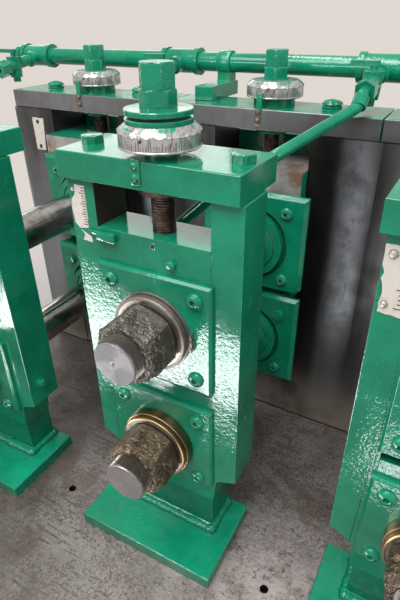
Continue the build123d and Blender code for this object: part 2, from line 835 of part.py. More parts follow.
# Brackets from the inboard caps back to the header, with a saddle and a strap round the pipe
bracket_y = (inboard_face + bracket_front, header_y + strap_width / 2)
with BuildPart() as header_brackets:
    for x in bay_axes[1:]:
        middle = x + bracket_offset
        across = (middle - bracket_width / 2, middle + bracket_width / 2)
        narrow = (middle - strap_width / 2, middle + strap_width / 2)
        slab(across, bracket_y, (cap_top, cap_top + bracket_height))
        slab(narrow, (header_y - strap_width / 2, bracket_y[1]), (cap_top + bracket_height, header_z))
        bar_along_x(header_y, header_z, header_radius + strap_thickness, narrow)
        with Locations((middle, header_y, header_z)):
            Cylinder(header_radius, bracket_width, rotation=(0, 90, 0), mode=Mode.SUBTRACT)
write(header_brackets, "header_brackets")
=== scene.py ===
"""Looks of a roll forming machine: paint, worn steel, fasteners, threads, dials and welds.

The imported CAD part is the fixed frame. Sizes are in metres and in the part's own frame, with +Z
up and the outboard stands facing -Y. Only the pairs inside mm() are in millimetres.
"""

import random
from math import cos, hypot, pi, radians, sin, sqrt

import bmesh
import bpy
from mathutils import Matrix, Vector, noise


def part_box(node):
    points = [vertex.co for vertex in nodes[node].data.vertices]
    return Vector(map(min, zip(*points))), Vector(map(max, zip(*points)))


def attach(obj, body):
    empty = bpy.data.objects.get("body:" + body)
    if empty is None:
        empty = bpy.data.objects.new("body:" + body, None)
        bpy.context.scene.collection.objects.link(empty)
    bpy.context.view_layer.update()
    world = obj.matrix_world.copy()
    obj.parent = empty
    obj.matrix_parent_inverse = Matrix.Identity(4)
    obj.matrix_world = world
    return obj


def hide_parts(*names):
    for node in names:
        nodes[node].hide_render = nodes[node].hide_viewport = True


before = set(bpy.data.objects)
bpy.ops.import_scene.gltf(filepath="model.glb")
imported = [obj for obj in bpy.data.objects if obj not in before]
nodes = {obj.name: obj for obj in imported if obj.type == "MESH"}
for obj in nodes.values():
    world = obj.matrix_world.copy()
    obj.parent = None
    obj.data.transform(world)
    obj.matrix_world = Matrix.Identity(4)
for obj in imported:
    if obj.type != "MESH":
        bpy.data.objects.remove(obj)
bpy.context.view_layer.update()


def centre_of(node):
    low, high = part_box(node)
    return (low + high) / 2


def mm(*pairs, up=0):
    """Pairs in millimetres, such as a radius and a height, turned into metres and raised by up."""
    return [(first / 1000, up + second / 1000) for first, second in pairs]


# Places read from the frame
BAYS = ("left", "centre", "right")
AXIS_X = {bay: centre_of(f"bottom_arbor_{bay}").x for bay in BAYS}
TOP_Z = {bay: centre_of(f"top_arbor_{bay}").z for bay in BAYS}
BOTTOM_Z = centre_of("bottom_arbor_centre").z
LIFT = {bay: TOP_Z[bay] - TOP_Z["centre"] for bay in BAYS}
SCREW_BACK = 0.0381
FACE = {bay: centre_of(f"outboard_screw_{bay}").y - SCREW_BACK for bay in BAYS}
BED_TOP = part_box("bed_plate")[1].z
CAP_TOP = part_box("outboard_caps")[1].z
CAP_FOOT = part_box("outboard_caps")[0].z
INBOARD_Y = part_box("inboard_housings")[0].y
INBOARD_COVER_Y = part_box("inboard_bottom_covers")[0].y
PITCH = AXIS_X["right"] - AXIS_X["centre"]
STAND_HALF = 0.1523
PROUD = 0.0103
PEDESTAL_HALF, PEDESTAL_DEPTH = 0.1016, 0.0762
BASE_TOP = BED_TOP + 0.028

# Sizes of the pieces that only show here
BOLT_FLATS, BOLT_HEIGHT = 0.0333, 0.0125
COVER_BOLT_FLATS, COVER_BOLT_HEIGHT = 0.0254, 0.009
BUTTON_RADIUS, BUTTON_HEIGHT, SOCKET_FLATS = 0.0142, 0.0085, 0.0095
SCREW_SPREAD = 0.079
SCREW_PITCH = 0.00423
ROD_RADIUS = 0.01905
CREST_RADIUS, ROOT_RADIUS = 0.0186, 0.017
LOWER_HEAD_FLATS, UPPER_HEAD_FLATS, LOWER_HEAD_HEIGHT = 0.0476, 0.0452, 0.024
DIAL_BAND, DIAL_SHOULDER, DIAL_MARKS = 0.0596, 0.024, 100
DIAL_TURNS, DIAL_FACETS = 132, 22
NUT_FLATS, NUT_LENGTH, NUT_ROWS, NUT_TURNS = 0.1048, 0.064, 48, 240
THREAD_RADIUS, ARBOR_PITCH = 0.0381, 0.0033
POINTER_SCREWS = (-0.0065, -0.0235)
WELD_RADIUS, WELD_STEP = 0.01, 0.0028

# Colours are in thousandths of full light
GREEN_DEEP = (3, 165, 88)
GREEN = (6, 235, 128)
GREEN_PALE = (26, 290, 178)
WALL = (740, 690, 640)
REFRACTION = 1.42


def scaled(colour, gain):
    return tuple(gain * channel for channel in colour)


def light(colour):
    """A colour as a socket takes it."""
    return (*scaled(colour, 0.001), 1)


# Materials


class Nodes:
    """Short calls for the nodes of one tree."""

    def __init__(self, tree):
        self.tree = tree

    def feed(self, socket, value):
        if isinstance(value, bpy.types.NodeSocket):
            self.tree.links.new(value, socket)
        else:
            socket.default_value = value

    def node(self, kind, feeds, **settings):
        """A new node. feeds gives its inputs, each by its name or number."""
        made = self.tree.nodes.new(kind)
        for key, value in settings.items():
            setattr(made, key, value)
        for key, value in feeds.items():
            self.feed(made.inputs[key], value)
        return made

    def math(self, operation, a, b=0):
        return self.node("ShaderNodeMath", {0: a, 1: b}, operation=operation).outputs[0]

    def times(self, product, *others):
        for other in others:
            product = self.math("MULTIPLY", product, other)
        return product

    def larger(self, a, b):
        return self.math("MAXIMUM", a, b)

    def size(self, value):
        return self.math("ABSOLUTE", value)

    def away(self, value, number):
        """How far a value is from a number."""
        return self.size(self.math("SUBTRACT", value, number))

    def in_sight(self):
        """1 for rays from the camera, from a reflection or through glass."""
        rays = self.node("ShaderNodeLightPath", {}).outputs
        indirect = self.larger(rays["Is Glossy Ray"], rays["Is Transmission Ray"])
        return self.larger(rays["Is Camera Ray"], indirect)

    def show(self, share, first, second, output):
        """Sends the first shader to the output where share is 0, and the second where it is 1."""
        joined = self.node("ShaderNodeMixShader", {0: share, 1: first, 2: second})
        self.feed(self.tree.nodes[output].inputs["Surface"], joined.outputs[0])


class Paint(Nodes):
    """One procedural material, in the object's own coordinates."""

    def __init__(self, name):
        self.material = bpy.data.materials.new(name)
        self.material.use_nodes = True
        super().__init__(self.material.node_tree)
        self.shader = self.tree.nodes["Principled BSDF"]
        self.place = self.node("ShaderNodeTexCoord", {}).outputs["Object"]
        self.facing = self.node("ShaderNodeNewGeometry", {}).outputs["Normal"]

    def stretched(self, scale, origin=(0, 0, 0)):
        """The object's own coordinates, scaled by a number for each axis."""
        feeds = {"Vector": self.place, "Scale": scale, "Location": origin}
        return self.node("ShaderNodeMapping", feeds).outputs["Vector"]

    def noise(self, scale, detail=4, rough=0.55, twist=0, where=None):
        feeds = {"Vector": where or self.place, "Scale": scale, "Detail": detail}
        feeds |= {"Roughness": rough, "Distortion": twist}
        return self.node("ShaderNodeTexNoise", feeds).outputs["Fac"]

    def streaks(self, scale, origin=(0, 0, 0), detail=3, rough=0.6, twist=0):
        """Noise drawn out along the axes with a small scale."""
        return self.noise(1, detail, rough, twist, self.stretched(scale, origin))

    def cells(self, scale):
        return self.node("ShaderNodeTexVoronoi", {"Vector": self.place, "Scale": scale}).outputs["Distance"]

    def length(self, vector):
        return self.node("ShaderNodeVectorMath", {0: vector}, operation="LENGTH").outputs["Value"]

    def axis(self, name, vector=None):
        return self.node("ShaderNodeSeparateXYZ", {0: vector or self.place}).outputs[name]

    def span(self, value, low, high, out_low=0, out_high=1):
        """value between low and high, smoothly turned into out_low to out_high."""
        feeds = {0: value, 1: low, 2: high, 3: out_low, 4: out_high}
        return self.node("ShaderNodeMapRange", feeds, interpolation_type="SMOOTHSTEP").outputs[0]

    def spots(self, settings, low, high, out_low=0, out_high=1):
        """span of noise with these settings."""
        return self.span(self.noise(*settings), low, high, out_low, out_high)

    def along(self, axis, low, high, out_low=0, out_high=1):
        """span of a point's own coordinate."""
        return self.span(self.axis(axis), low, high, out_low, out_high)

    def faces(self, axis, low, high):
        """span of the way that the surface faces."""
        return self.span(self.axis(axis, self.facing), low, high)

    def mix(self, share, *colours):
        first, second = (one if isinstance(one, bpy.types.NodeSocket) else light(one) for one in colours)
        return self.node("ShaderNodeMix", {0: share, 6: first, 7: second}, data_type="RGBA").outputs[2]

    def coats(self, colour, *layers):
        """Lays (share, colour) layers over a colour, one on another."""
        for share, over in layers:
            colour = self.mix(share, colour, over)
        return colour

    def blend(self, share, a, b):
        """A number between a and b."""
        rest = self.math("SUBTRACT", 1, share)
        return self.math("ADD", self.times(share, b), self.times(rest, a))

    def bump(self, height, depth, strength, under=None):
        feeds = {"Distance": depth, "Strength": strength, "Height": height}
        if under is not None:
            feeds["Normal"] = under
        return self.node("ShaderNodeBump", feeds).outputs["Normal"]

    def done(self, colour, roughness, normal=None, metallic=0):
        feeds = {"Base Color": colour, "Roughness": roughness, "Metallic": metallic, "IOR": REFRACTION}
        if normal is not None:
            feeds["Normal"] = normal
        for key, value in feeds.items():
            self.feed(self.shader.inputs[key], value)
        return self.material


def bay_offset(p):
    """Distance of a point from the nearest bay's axis, along X."""
    shifted = p.math("ADD", p.axis("X"), PITCH * 10.5)
    return p.math("SUBTRACT", p.math("MODULO", shifted, PITCH), PITCH / 2)


def worn_and_lit_edges(p, radius, low, high):
    """1 along sharp edges, where the rounded normal leaves the true one."""
    rounded = p.node("ShaderNodeBevel", {"Radius": radius}, samples=4).outputs["Normal"]
    turn = p.node("ShaderNodeVectorMath", {0: rounded, 1: p.facing}, operation="DOT_PRODUCT")
    return p.span(turn.outputs["Value"], 1 - low, 1 - high)


def green_layers(p, lumps, gain=1):
    """Colour, roughness and normal of thick, glossy brushed paint over rough steel. With gain above 1,
    faces that look up are painted lighter by gain and the rest darker: painted light and shade.
    """
    broad = p.spots((9, 3), 0.35, 0.7)
    colour = p.mix(broad, GREEN_DEEP, GREEN)
    if gain > 1:
        # Painted shade on the other faces and painted light on the faces that look up.
        sides = p.mix(broad, scaled(GREEN_DEEP, 0.76), scaled(GREEN, 0.76))
        lit_tops = p.mix(broad, scaled(GREEN_DEEP, gain), scaled(GREEN, gain))
        colour = p.mix(p.faces("Z", 0.5, 0.9), sides, lit_tops)
    edges = p.spots((34, 4, 0.7), 0.4, 0.62, 0.05, 0.75)
    colour = p.coats(
        colour,
        (p.times(p.spots((55, 5, 0.65), 0.52, 0.75), 0.35), GREEN_PALE),
        (p.spots((130, 3), 0.66, 0.74, 0, 0.45), (3, 75, 45)),
        (p.times(p.span(p.cells(95), 0.045, 0.02), p.spots((23, 2), 0.6, 0.66)), (550, 580, 520)),
        # Pale green along sharp edges: partly worn paint, partly painted highlight.
        (p.times(worn_and_lit_edges(p, 0.0016, 0.01, 0.12), edges), (160, 420, 300)),
    )
    roughness = p.spots((30, 3), 0.3, 0.75, 0.06, 0.14)
    strength = p.times(p.spots((9, 2), 0.4, 0.6, 0.35, 1.5), 0.6)
    fine = p.bump(p.noise(290, 1.5, 0.45), 0.00036 * lumps, strength)
    skin = p.bump(p.noise(150, 1.5, 0.45), 0.00052 * lumps, strength, fine)
    return colour, roughness, p.bump(p.noise(38, 2), 0.0009 * lumps, 0.3, skin)


def green_paint(name, lumps=1, gain=1):
    p = Paint(name)
    return p.done(*green_layers(p, lumps, gain))


def part_bare(name, bare_share, bare_colour, bare_rough, lumps=1, dirt=1):
    """Green paint that leaves the steel bare where bare_share(p) is 1."""
    p = Paint(name)
    colour, roughness, normal = green_layers(p, lumps)
    share = bare_share(p)
    grime = p.spots((26, 6, 0.65), 0.35, 0.7, 0, dirt)
    bare = p.mix(grime, bare_colour(p), (50, 40, 33))
    roughness = p.blend(share, roughness, bare_rough)
    return p.done(p.mix(share, colour, bare), roughness, normal, p.times(share, 0.75))


def part_inside(p):
    """1 away from the bed's four sides, which is inside its holes."""
    return p.times(p.span(p.size(p.axis("X")), 0.849, 0.846), p.span(p.size(p.axis("Y")), 0.506, 0.503))


def bed_steel():
    """A planed plate: blotches and planing lines, then stains, scratches and pits; painted shade on its
    left between the stands and inside its holes; darker at the front left and towards the back.
    """
    p = Paint("bed_steel")
    planed = p.streaks((5, 420, 5), detail=4, rough=0.7)
    fine = p.noise(95, 6, 0.7)
    dark_lines = p.streaks((9, 150, 5), (3, 1, 0), rough=0.7)
    scrapes = p.noise(6, 5, 0.75, 2.2, p.stretched((3, 30, 1), (0.3, 0.2, 0)))
    scratches = p.streaks((260, 40, 5), (2, 5, 0), rough=0.75, twist=0.4)
    freckles = p.times(p.spots((170, 5, 0.8), 0.51, 0.58), p.spots((8, 4), 0.4, 0.52), 0.85)
    shaded_left = p.times(p.along("X", 0.05, -0.45, 0, 0.62), p.spots((5, 3), 0.35, 0.6, 0.6, 1))
    right_side = p.times(p.along("X", -0.1, 0.3, 0, 0.7), p.along("Y", -0.05, -0.25))
    where_scratched = p.spots((5.5, 3, 0.6), 0.48, 0.6)
    where_pitted = p.spots((14, 4, 0.6), 0.42, 0.58, 0.15, 0.85)
    colour = p.coats(
        p.mix(p.spots((11, 8, 0.68, 0.6), 0.34, 0.66), (80, 65, 56), (330, 300, 285)),
        (p.spots((3.1, 3, 0.5, 0.4), 0.48, 0.66, 0, 0.75), (350, 320, 305)),
        (p.span(planed, 0.42, 0.72, 0, 0.5), (360, 335, 315)),
        (p.times(p.span(dark_lines, 0.55, 0.64, 0, 0.9), p.spots((6, 3), 0.44, 0.52)), (50, 33, 28)),
        (p.span(fine, 0.52, 0.66, 0, 0.85), (85, 64, 54)),
        (p.spots((4.3, 6, 0.65, 0.8), 0.54, 0.63, 0, 0.75), (105, 70, 55)),
        (p.span(scrapes, 0.655, 0.68, 0, 0.55), (550, 520, 490)),
        (p.times(p.span(scratches, 0.56, 0.66, 0, 0.8), where_scratched), (400, 370, 300)),
        (p.spots((330, 4, 0.8), 0.36, 0.64, 0, 0.55), (75, 60, 53)),
        (freckles, (50, 36, 31)),
        (p.spots((240, 4, 0.8), 0.56, 0.64, 0, 0.45), (520, 490, 470)),
        # Painted shade on the left of the bed, between the stands.
        (shaded_left, (55, 46, 40)),
        (p.times(p.along("Y", -0.26, -0.44, 0, 0.5), p.along("X", 0.15, -0.15)), (105, 94, 84)),
        (p.times(right_side, p.spots((26, 5, 0.7), 0.36, 0.58)), (460, 405, 395)),
        (p.times(p.spots((105, 5, 0.75), 0.54, 0.62), where_pitted), (80, 53, 45)),
        (p.along("Y", -0.2, 0.05, 0, 0.35), (50, 42, 36)),
        # Painted shade: near black on the walls of the holes, just below the top.
        (p.times(p.along("Z", BED_TOP - 0.0006, BED_TOP - 0.0012), part_inside(p)), (10, 8, 7)),
    )
    normal = p.bump(fine, 0.0014, 0.7, p.bump(planed, 0.0006, 0.5))
    return p.done(colour, p.spots((17, 5), 0.3, 0.7, 0.3, 0.55), normal, 0.3)


def panel_steel():
    """Brushed sheet: long soft streaks, a pale bluish painted reflection beside each bay and dirt at its
    foot.
    """
    p = Paint("panel_steel")
    bend = p.times(p.math("SUBTRACT", p.noise(4, 2), 0.5), 0.08)
    beside = p.math("ADD", p.away(bay_offset(p), 0.203), bend)
    painted_reflection = p.times(p.span(beside, 0.055, 0.002), p.span(p.away(p.axis("Z"), 1.12), 0.34, 0.1))
    foot = p.along("Z", BED_TOP + 0.2, BED_TOP, 0, 0.85)
    smudges = p.streaks((34, 1, 12), detail=6, rough=0.75, twist=0.6)
    colour = p.coats(
        p.mix(
            p.span(p.streaks((11, 1, 1.3), rough=0.5), 0.36, 0.66),
            (24, 23, 22),
            (100, 100, 103),
        ),
        # Painted reflection: a pale bluish patch of light beside each bay.
        (p.times(painted_reflection, p.spots((8, 6, 0.65), 0.36, 0.58, 0.4, 1.15), 0.82), (330, 335, 375)),
        (p.span(p.away(bay_offset(p), 0.143), 0.034, 0.006, 0, 0.85), (13, 14, 13)),
        (p.times(foot, p.spots((13, 5), 0.3, 0.6, 0.4, 1)), (300, 245, 205)),
        (p.times(p.span(p.cells(60), 0.035, 0.015), p.spots((12, 2), 0.58, 0.62)), (20, 18, 16)),
        (p.along("Z", BED_TOP + 0.006, BED_TOP + 0.003), (20, 16, 14)),
        (p.span(smudges, 0.55, 0.7, 0, 0.45), (30, 27, 25)),
    )
    roughness = p.spots((13, 6, 0.7), 0.3, 0.7, 0.5, 0.3)
    normal = p.bump(p.streaks((700, 1, 14)), 0.0002, 0.3)
    return p.done(colour, roughness, normal, p.along("Z", 0.72, 0.95, 0.35, 0.8))


def arbor_steel():
    """Polished shaft steel with oil on it, duller on the ends in front of the nuts."""
    p = Paint("arbor_steel")
    smear = p.noise(14, 5, 0.6)
    end = p.times(p.faces("Y", -0.6, -0.9), p.along("Y", -0.262, -0.268))
    upper = p.along("Z", 1, 1.01)
    end_colour = p.mix(upper, (165, 135, 128), (215, 205, 215))
    end_grime = p.spots((70, 6, 0.7), 0.45, 0.7, 0, 0.6)
    colour = p.coats(
        p.mix(p.span(smear, 0.35, 0.7), (360, 345, 330), (600, 585, 560)),
        (p.spots((60, 5, 0.7), 0.56, 0.72, 0, 0.6), (120, 100, 88)),
        (end, p.mix(end_grime, end_colour, (80, 68, 62))),
    )
    roughness = p.blend(end, p.span(smear, 0.3, 0.7, 0.14, 0.3), p.blend(upper, 0.55, 0.34))
    normal = p.bump(p.streaks((3, 700, 3)), 0.00025, 0.3)
    return p.done(colour, roughness, normal, p.blend(end, 1, p.blend(upper, 0.1, 0.25)))


def turned_steel(name, base, streak, dark, smooth, rough, metallic=1):
    """Turned and worn steel with fine rings round its own axis."""
    p = Paint(name)
    smear = p.noise(14, 5, 0.6)
    colour = p.coats(
        p.mix(p.span(smear, 0.35, 0.7), base, streak),
        (p.spots((60, 5, 0.7), 0.56, 0.72, 0, 0.8), dark),
    )
    rings = p.bump(p.streaks((3, 3, 700)), 0.00025, 0.3)
    return p.done(colour, p.span(smear, 0.3, 0.7, smooth, rough), rings, metallic)


def hammered_steel(name, base, pale, dark):
    """Steel peened into long sharp folds towards its front edge, and scuffed on its flats. Painted shade
    darkens its creases, and painted highlight lightens its fold ridges and its edges, which are partly
    worn.
    """
    p = Paint(name)
    battered = p.along("Z", 0.03, 0.062, 0.3, 1)
    wide = p.away(p.noise(62, 2, 0.5, 0.9), 0.5)
    narrow = p.away(p.noise(150, 3, 0.6, 0.8), 0.5)
    shaded_creases = p.larger(
        p.times(p.span(wide, 0.03, 0.004), battered),
        p.times(p.span(narrow, 0.03, 0.004), p.times(battered, 0.6)),
    )
    lit_ridges = p.times(p.span(wide, 0.1, 0.17), p.spots((65, 3), 0.44, 0.58))
    worn = p.times(worn_and_lit_edges(p, 0.0022, 0.01, 0.14), p.spots((60, 3), 0.4, 0.58, 0.1, 1))
    colour = p.coats(
        p.mix(p.spots((24, 3), 0.36, 0.64), base, pale),
        (p.spots((80, 6, 0.7), 0.5, 0.66, 0, 0.75), dark),
        # Painted shade in the creases; painted highlight on the fold ridges and on the edges, which are
        # partly worn.
        (p.times(shaded_creases, 0.75), scaled(dark, 0.5)),
        (p.larger(p.times(worn, 0.7), p.times(lit_ridges, p.times(battered, 0.55))), scaled(pale, 2)),
    )
    normal = p.bump(narrow, 0.006, battered, p.bump(wide, 0.015, battered))
    normal = p.bump(p.noise(70, 3, 0.5, 0.4), 0.0012, 0.5, normal)
    return p.done(colour, p.spots((50, 3), 0.3, 0.7, 0.28, 0.46), normal, 0.55)


def turned_end(name, base, pale, roughness, lobes):
    """The faced end of a shaft: fine rings, and lobes of light across it."""
    p = Paint(name)
    angle = p.node("ShaderNodeTexGradient", {"Vector": p.place}, gradient_type="RADIAL")
    wave = p.math("SINE", p.times(angle.outputs["Fac"], 4 * pi))
    bright = p.math("ADD", p.times(p.span(wave, -0.6, 1), lobes), p.spots((35, 4), 0.4, 0.7, 0, 0.3))
    grime = p.spots((90, 5, 0.7), 0.52, 0.68, 0, 0.6)
    colour = p.coats(p.mix(bright, base, pale), (grime, scaled(base, 0.45)))
    rings = p.math("SINE", p.times(p.length(p.stretched((1, 1, 0))), 5200))
    return p.done(colour, roughness, p.bump(rings, 0.0001, 0.35), 0.25)


def threaded_steel():
    """Oiled rusty steel of the adjusting screws."""
    p = Paint("screw_steel")
    colour = p.coats(
        p.mix(p.spots((60, 5), 0.42, 0.66), (42, 30, 24), (135, 96, 74)),
        (p.spots((150, 4), 0.5, 0.66, 0, 0.6), (110, 48, 26)),
    )
    return p.done(colour, p.spots((30, 3), 0.3, 0.7, 0.3, 0.5), p.bump(p.noise(380, 3), 0.0004, 0.4), 0.6)


def dial_chrome():
    """Chrome worn dull: stains low on its band, grime in its marks and paint round its top."""
    p = Paint("dial_chrome")
    grime = p.noise(120, 5, 0.65)
    stain = p.times(p.spots((75, 5, 0.7), 0.46, 0.62), p.along("Z", 0.02, 0.01), 0.55)
    marks = p.span(p.streaks((430, 430, 30), detail=2, rough=0.5), 0.54, 0.66, 0, 0.7)
    paint = p.times(p.spots((90, 4, 0.7), 0.52, 0.58), p.along("Z", 0.0258, 0.0288))
    colour = p.coats(
        p.mix(p.span(grime, 0.5, 0.7, 0, 0.7), (470, 460, 465), (150, 130, 110)),
        (stain, (300, 265, 200)),
        (p.times(marks, p.along("Z", 0.0035, 0.0045)), (100, 85, 75)),
        (paint, GREEN),
    )
    chromed = 0.62
    metallic = p.math("SUBTRACT", chromed, p.times(paint, chromed))
    skin_bump = p.bump(p.noise(260, 2), 0.0005, 0.3)
    return p.done(colour, p.span(grime, 0.3, 0.7, 0.14, 0.32), skin_bump, metallic)


def plain(name, colour, roughness, metallic=0, spots=(20, 16, 12), amount=0.6, scale=90):
    """Small pieces: one colour with grime in patches and a fine skin."""
    p = Paint(name)
    grimy = p.mix(p.spots((scale, 5, 0.65), 0.52, 0.7, 0, amount), colour, spots)
    rough = p.spots((scale * 0.7, 3), 0.3, 0.7, roughness * 0.8, min(1, roughness * 1.3))
    return p.done(grimy, rough, p.bump(p.noise(scale * 4, 3), 0.0004, 0.4), metallic)


def inner_walls(p):
    """1 on the sides of the outboard windows, which face along X near the window's width."""
    near = p.span(p.size(bay_offset(p)), 0.103, 0.102)
    return p.times(p.span(p.size(p.axis("X", p.facing)), 0.5, 0.9), near)


def wall_brown(p):
    return 60, 42, 34


def cap_front_bare(p):
    """1 on the front of the inboard caps, with ragged edges and flecks of paint left."""
    bare = p.larger(p.span(p.cells(60), 0.09, 0.16), p.spots((14, 3), 0.36, 0.42))
    return p.times(p.faces("Y", -0.5, -0.8), bare)


def brushed_grey(p):
    lines = p.span(p.streaks((2.2, 1, 9)), 0.36, 0.66)
    colour = p.mix(lines, (48, 46, 44), (125, 126, 134))
    return p.mix(p.along("X", 0.35, -0.15, 0, 0.5), colour, (270, 270, 280))


def block_bare(p):
    """1 on the upper fronts of the inboard blocks, and on the top of the centre one."""
    top = p.times(p.faces("Z", 0.5, 0.8), p.span(p.size(p.axis("X")), 0.2, 0.19))
    bare = p.larger(p.faces("Y", -0.5, -0.8), top)
    return p.times(p.along("Y", 0.1, 0.12), bare, p.along("Z", BOTTOM_Z + 0.36, BOTTOM_Z + 0.37))


def rust_and_grey(p):
    return p.mix(p.spots((20, 4), 0.52, 0.68, 0, 0.85), (340, 330, 320), (240, 115, 60))


green = green_paint("green_paint")
smooth_green = green_paint("smooth_green", 0.5)
rough_green = green_paint("rough_green", 1.35)
base_green = green_paint("base_paint", 1.1)
# feet_paint has gain 1.16: its upward faces are painted lighter and its other faces darker, as painted
# light and shade.
feet_green = green_paint("feet_paint", 1.3, 1.16)
housing_paint = part_bare("housing_paint", inner_walls, wall_brown, 0.5)
cap_paint = part_bare("cap_paint", cap_front_bare, brushed_grey, 0.36, 0.5, 0.25)
block_paint = part_bare("block_paint", block_bare, rust_and_grey, 0.5, 0.6, 0.45)
bed = bed_steel()
panel = panel_steel()
arbor = arbor_steel()
bronze = turned_steel("bronze", (200, 118, 58), (330, 215, 120), (80, 45, 24), 0.26, 0.42)
washer_steel = turned_steel(
    "washer_steel", (115, 94, 83), (235, 203, 184), (45, 33, 27), 0.36, 0.52, 0.55
)
thread_steel = turned_steel(
    "thread_steel", (125, 106, 92), (250, 220, 200), (50, 38, 30), 0.27, 0.42, 0.7
)
end_grey = turned_end("arbor_end", (44, 40, 43), (150, 140, 150), 0.46, 0.85)
end_dull = turned_end("arbor_end_dull", (60, 47, 45), (98, 77, 74), 0.7, 0.5)
nut_steel = hammered_steel("nut_steel", (95, 87, 72), (175, 163, 140), (46, 38, 30))
brown_nut = hammered_steel("brown_nut_steel", (98, 72, 46), (200, 152, 100), (40, 28, 18))
# Near black for painted shade in the gaps between rings and in thread roots.
gap_shade_black = plain("gap_shade_black", (14, 11, 9), 0.4, amount=0.3)
screw_steel = threaded_steel()
chrome = dial_chrome()
# Black for printed ticks, dial marks and small screws, and also painted shade in small holes and round a
# screw's neck.
black_and_shade = plain("black_and_shade", (18, 16, 14), 0.6, amount=0.2)
copper = plain("copper_screw", (150, 98, 76), 0.45, 0.6)
zinc = plain("zinc_screw", (360, 330, 310), 0.42, 0.8)
enamel = plain("scale_enamel", (600, 540, 480), 0.45, spots=(420, 300, 210), amount=0.45, scale=70)

# A node takes the first of these materials with a word that its name holds
NODE_PAINT = (
    (bed, "bed_plate"),
    (panel, "inboard_face_panels", "inboard_housings"),
    (housing_paint, "outboard_housings"),
    (cap_paint, "inboard_caps"),
    (smooth_green, "outboard_caps"),
    (feet_green, "outboard_feet"),
    (base_green, "foot_plates", "base_legs", "base_rails", "cross_members"),
    (rough_green, "header_brackets", "branch_valves"),
    (block_paint, "blocks"),
    (nut_steel, "_arbor_nut_"),
    (arbor, "_arbor_"),
    (screw_steel, "_screw_"),
    (chrome, "_dial_"),
    (green, ""),
)
for name, node in nodes.items():
    node.data.materials.clear()
    chosen = (paint for paint, *words in NODE_PAINT if any(word in name for word in words))
    node.data.materials.append(next(chosen))


# Edges of the CAD nodes

SOFT_EDGES = {
    0.0006: ("outboard_bottom_covers", "inboard_bottom_covers", "inboard_back_plates"),
    0.001: ("outboard_caps", "inboard_caps", "bed_plate", "base_rails", "foot_plates"),
    0.0012: ("outboard_housings", "outboard_feet"),
    0.0022: ("header_brackets",),
}
SOFT_EDGES[0.0006] += tuple(f"top_covers_{bay}" for bay in BAYS)
for width, softened in SOFT_EDGES.items():
    for name in softened:
        weld = nodes[name].modifiers.new("join", "WELD")
        weld.merge_threshold = 0.00002
        rounding = nodes[name].modifiers.new("edges", "BEVEL")
        rounding.width = width
        rounding.segments = 2
        rounding.limit_method = "ANGLE"
        rounding.angle_limit = radians(38)
        rounding.harden_normals = True


# Mesh helpers


def put(name, data):
    """A new object in the scene."""
    made = bpy.data.objects.new(name, data)
    bpy.context.scene.collection.objects.link(made)
    return made


def finish_piece(mesh, name, materials, smooth, body="stand_frame", replaced=()):
    """Turns a bmesh into a piece that rides on a body. smooth is the angle kept sharp, in degrees."""
    data = bpy.data.meshes.new(name)
    mesh.normal_update()
    mesh.to_mesh(data)
    mesh.free()
    for material in materials:
        data.materials.append(material)
    data.polygons.foreach_set("use_smooth", [True] * len(data.polygons))
    data.set_sharp_from_angle(angle=radians(smooth))
    made = put(name, data)
    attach(made, body)
    if replaced:
        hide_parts(*replaced)
    return made


def move_origin(piece, place):
    """Puts a piece's own coordinates at a place, so that its material turns round its axis."""
    piece.data.transform(Matrix(place).inverted())
    piece.matrix_world = place


def upright(place, facing=(0, -1, 0)):
    """A matrix that puts local +Z along facing, at a place."""
    return Matrix.Translation(Vector(place)) @ Vector(facing).to_track_quat("Z", "Y").to_matrix().to_4x4()


def lathe(mesh, profile, turns, place, start=0, index=0, reach=None):
    """Revolves (radius, height) points round local Z. reach(radius, angle, height) may bend it."""
    rings = []
    for radius, height in profile:
        if radius < 1e-6:
            rings.append([mesh.verts.new(place @ Vector((0, 0, height)))])
            continue
        ring = []
        for k in range(turns):
            a = start + 2 * pi * k / turns
            r = reach(radius, a, height) if reach else radius
            ring.append(mesh.verts.new(place @ Vector((r * cos(a), r * sin(a), height))))
        rings.append(ring)
    for low, high in zip(rings, rings[1:]):
        for k in range(turns):
            n = (k + 1) % turns
            corners = [low[k % len(low)], low[n % len(low)], high[n % len(high)], high[k % len(high)]]
            unique = list(dict.fromkeys(corners))
            if len(unique) > 2:
                mesh.faces.new(unique).material_index = index
    return rings


def skin(mesh, first, second):
    """Faces between two closed rings with as many points."""
    for corners in zip(first, first[1:] + first[:1], second[1:] + second[:1], second):
        mesh.faces.new(corners)


def hexagon_reach(flats, turn, rounding=0.0008):
    """Limits a radius to a hexagon of this size across its flats."""
    corner = flats / sqrt(3) - rounding

    def reach(radius, angle, height):
        off = ((angle - turn) % (pi / 3)) - pi / 6
        return min(radius, flats / 2 / cos(off), corner)

    return reach


def hex_head(mesh, flats, height, place, turn):
    """A hexagonal bolt head on its washer face, with its corners turned down."""
    profile = [(flats, 0), (flats, height - 0.06 * flats), (flats * 0.545, height - 0.03 * flats)]
    profile += [(flats * 0.49, height), (flats * 0.3, height + 0.0004), (0, height + 0.0004)]
    lathe(mesh, profile, 36, place, reach=hexagon_reach(flats, turn))


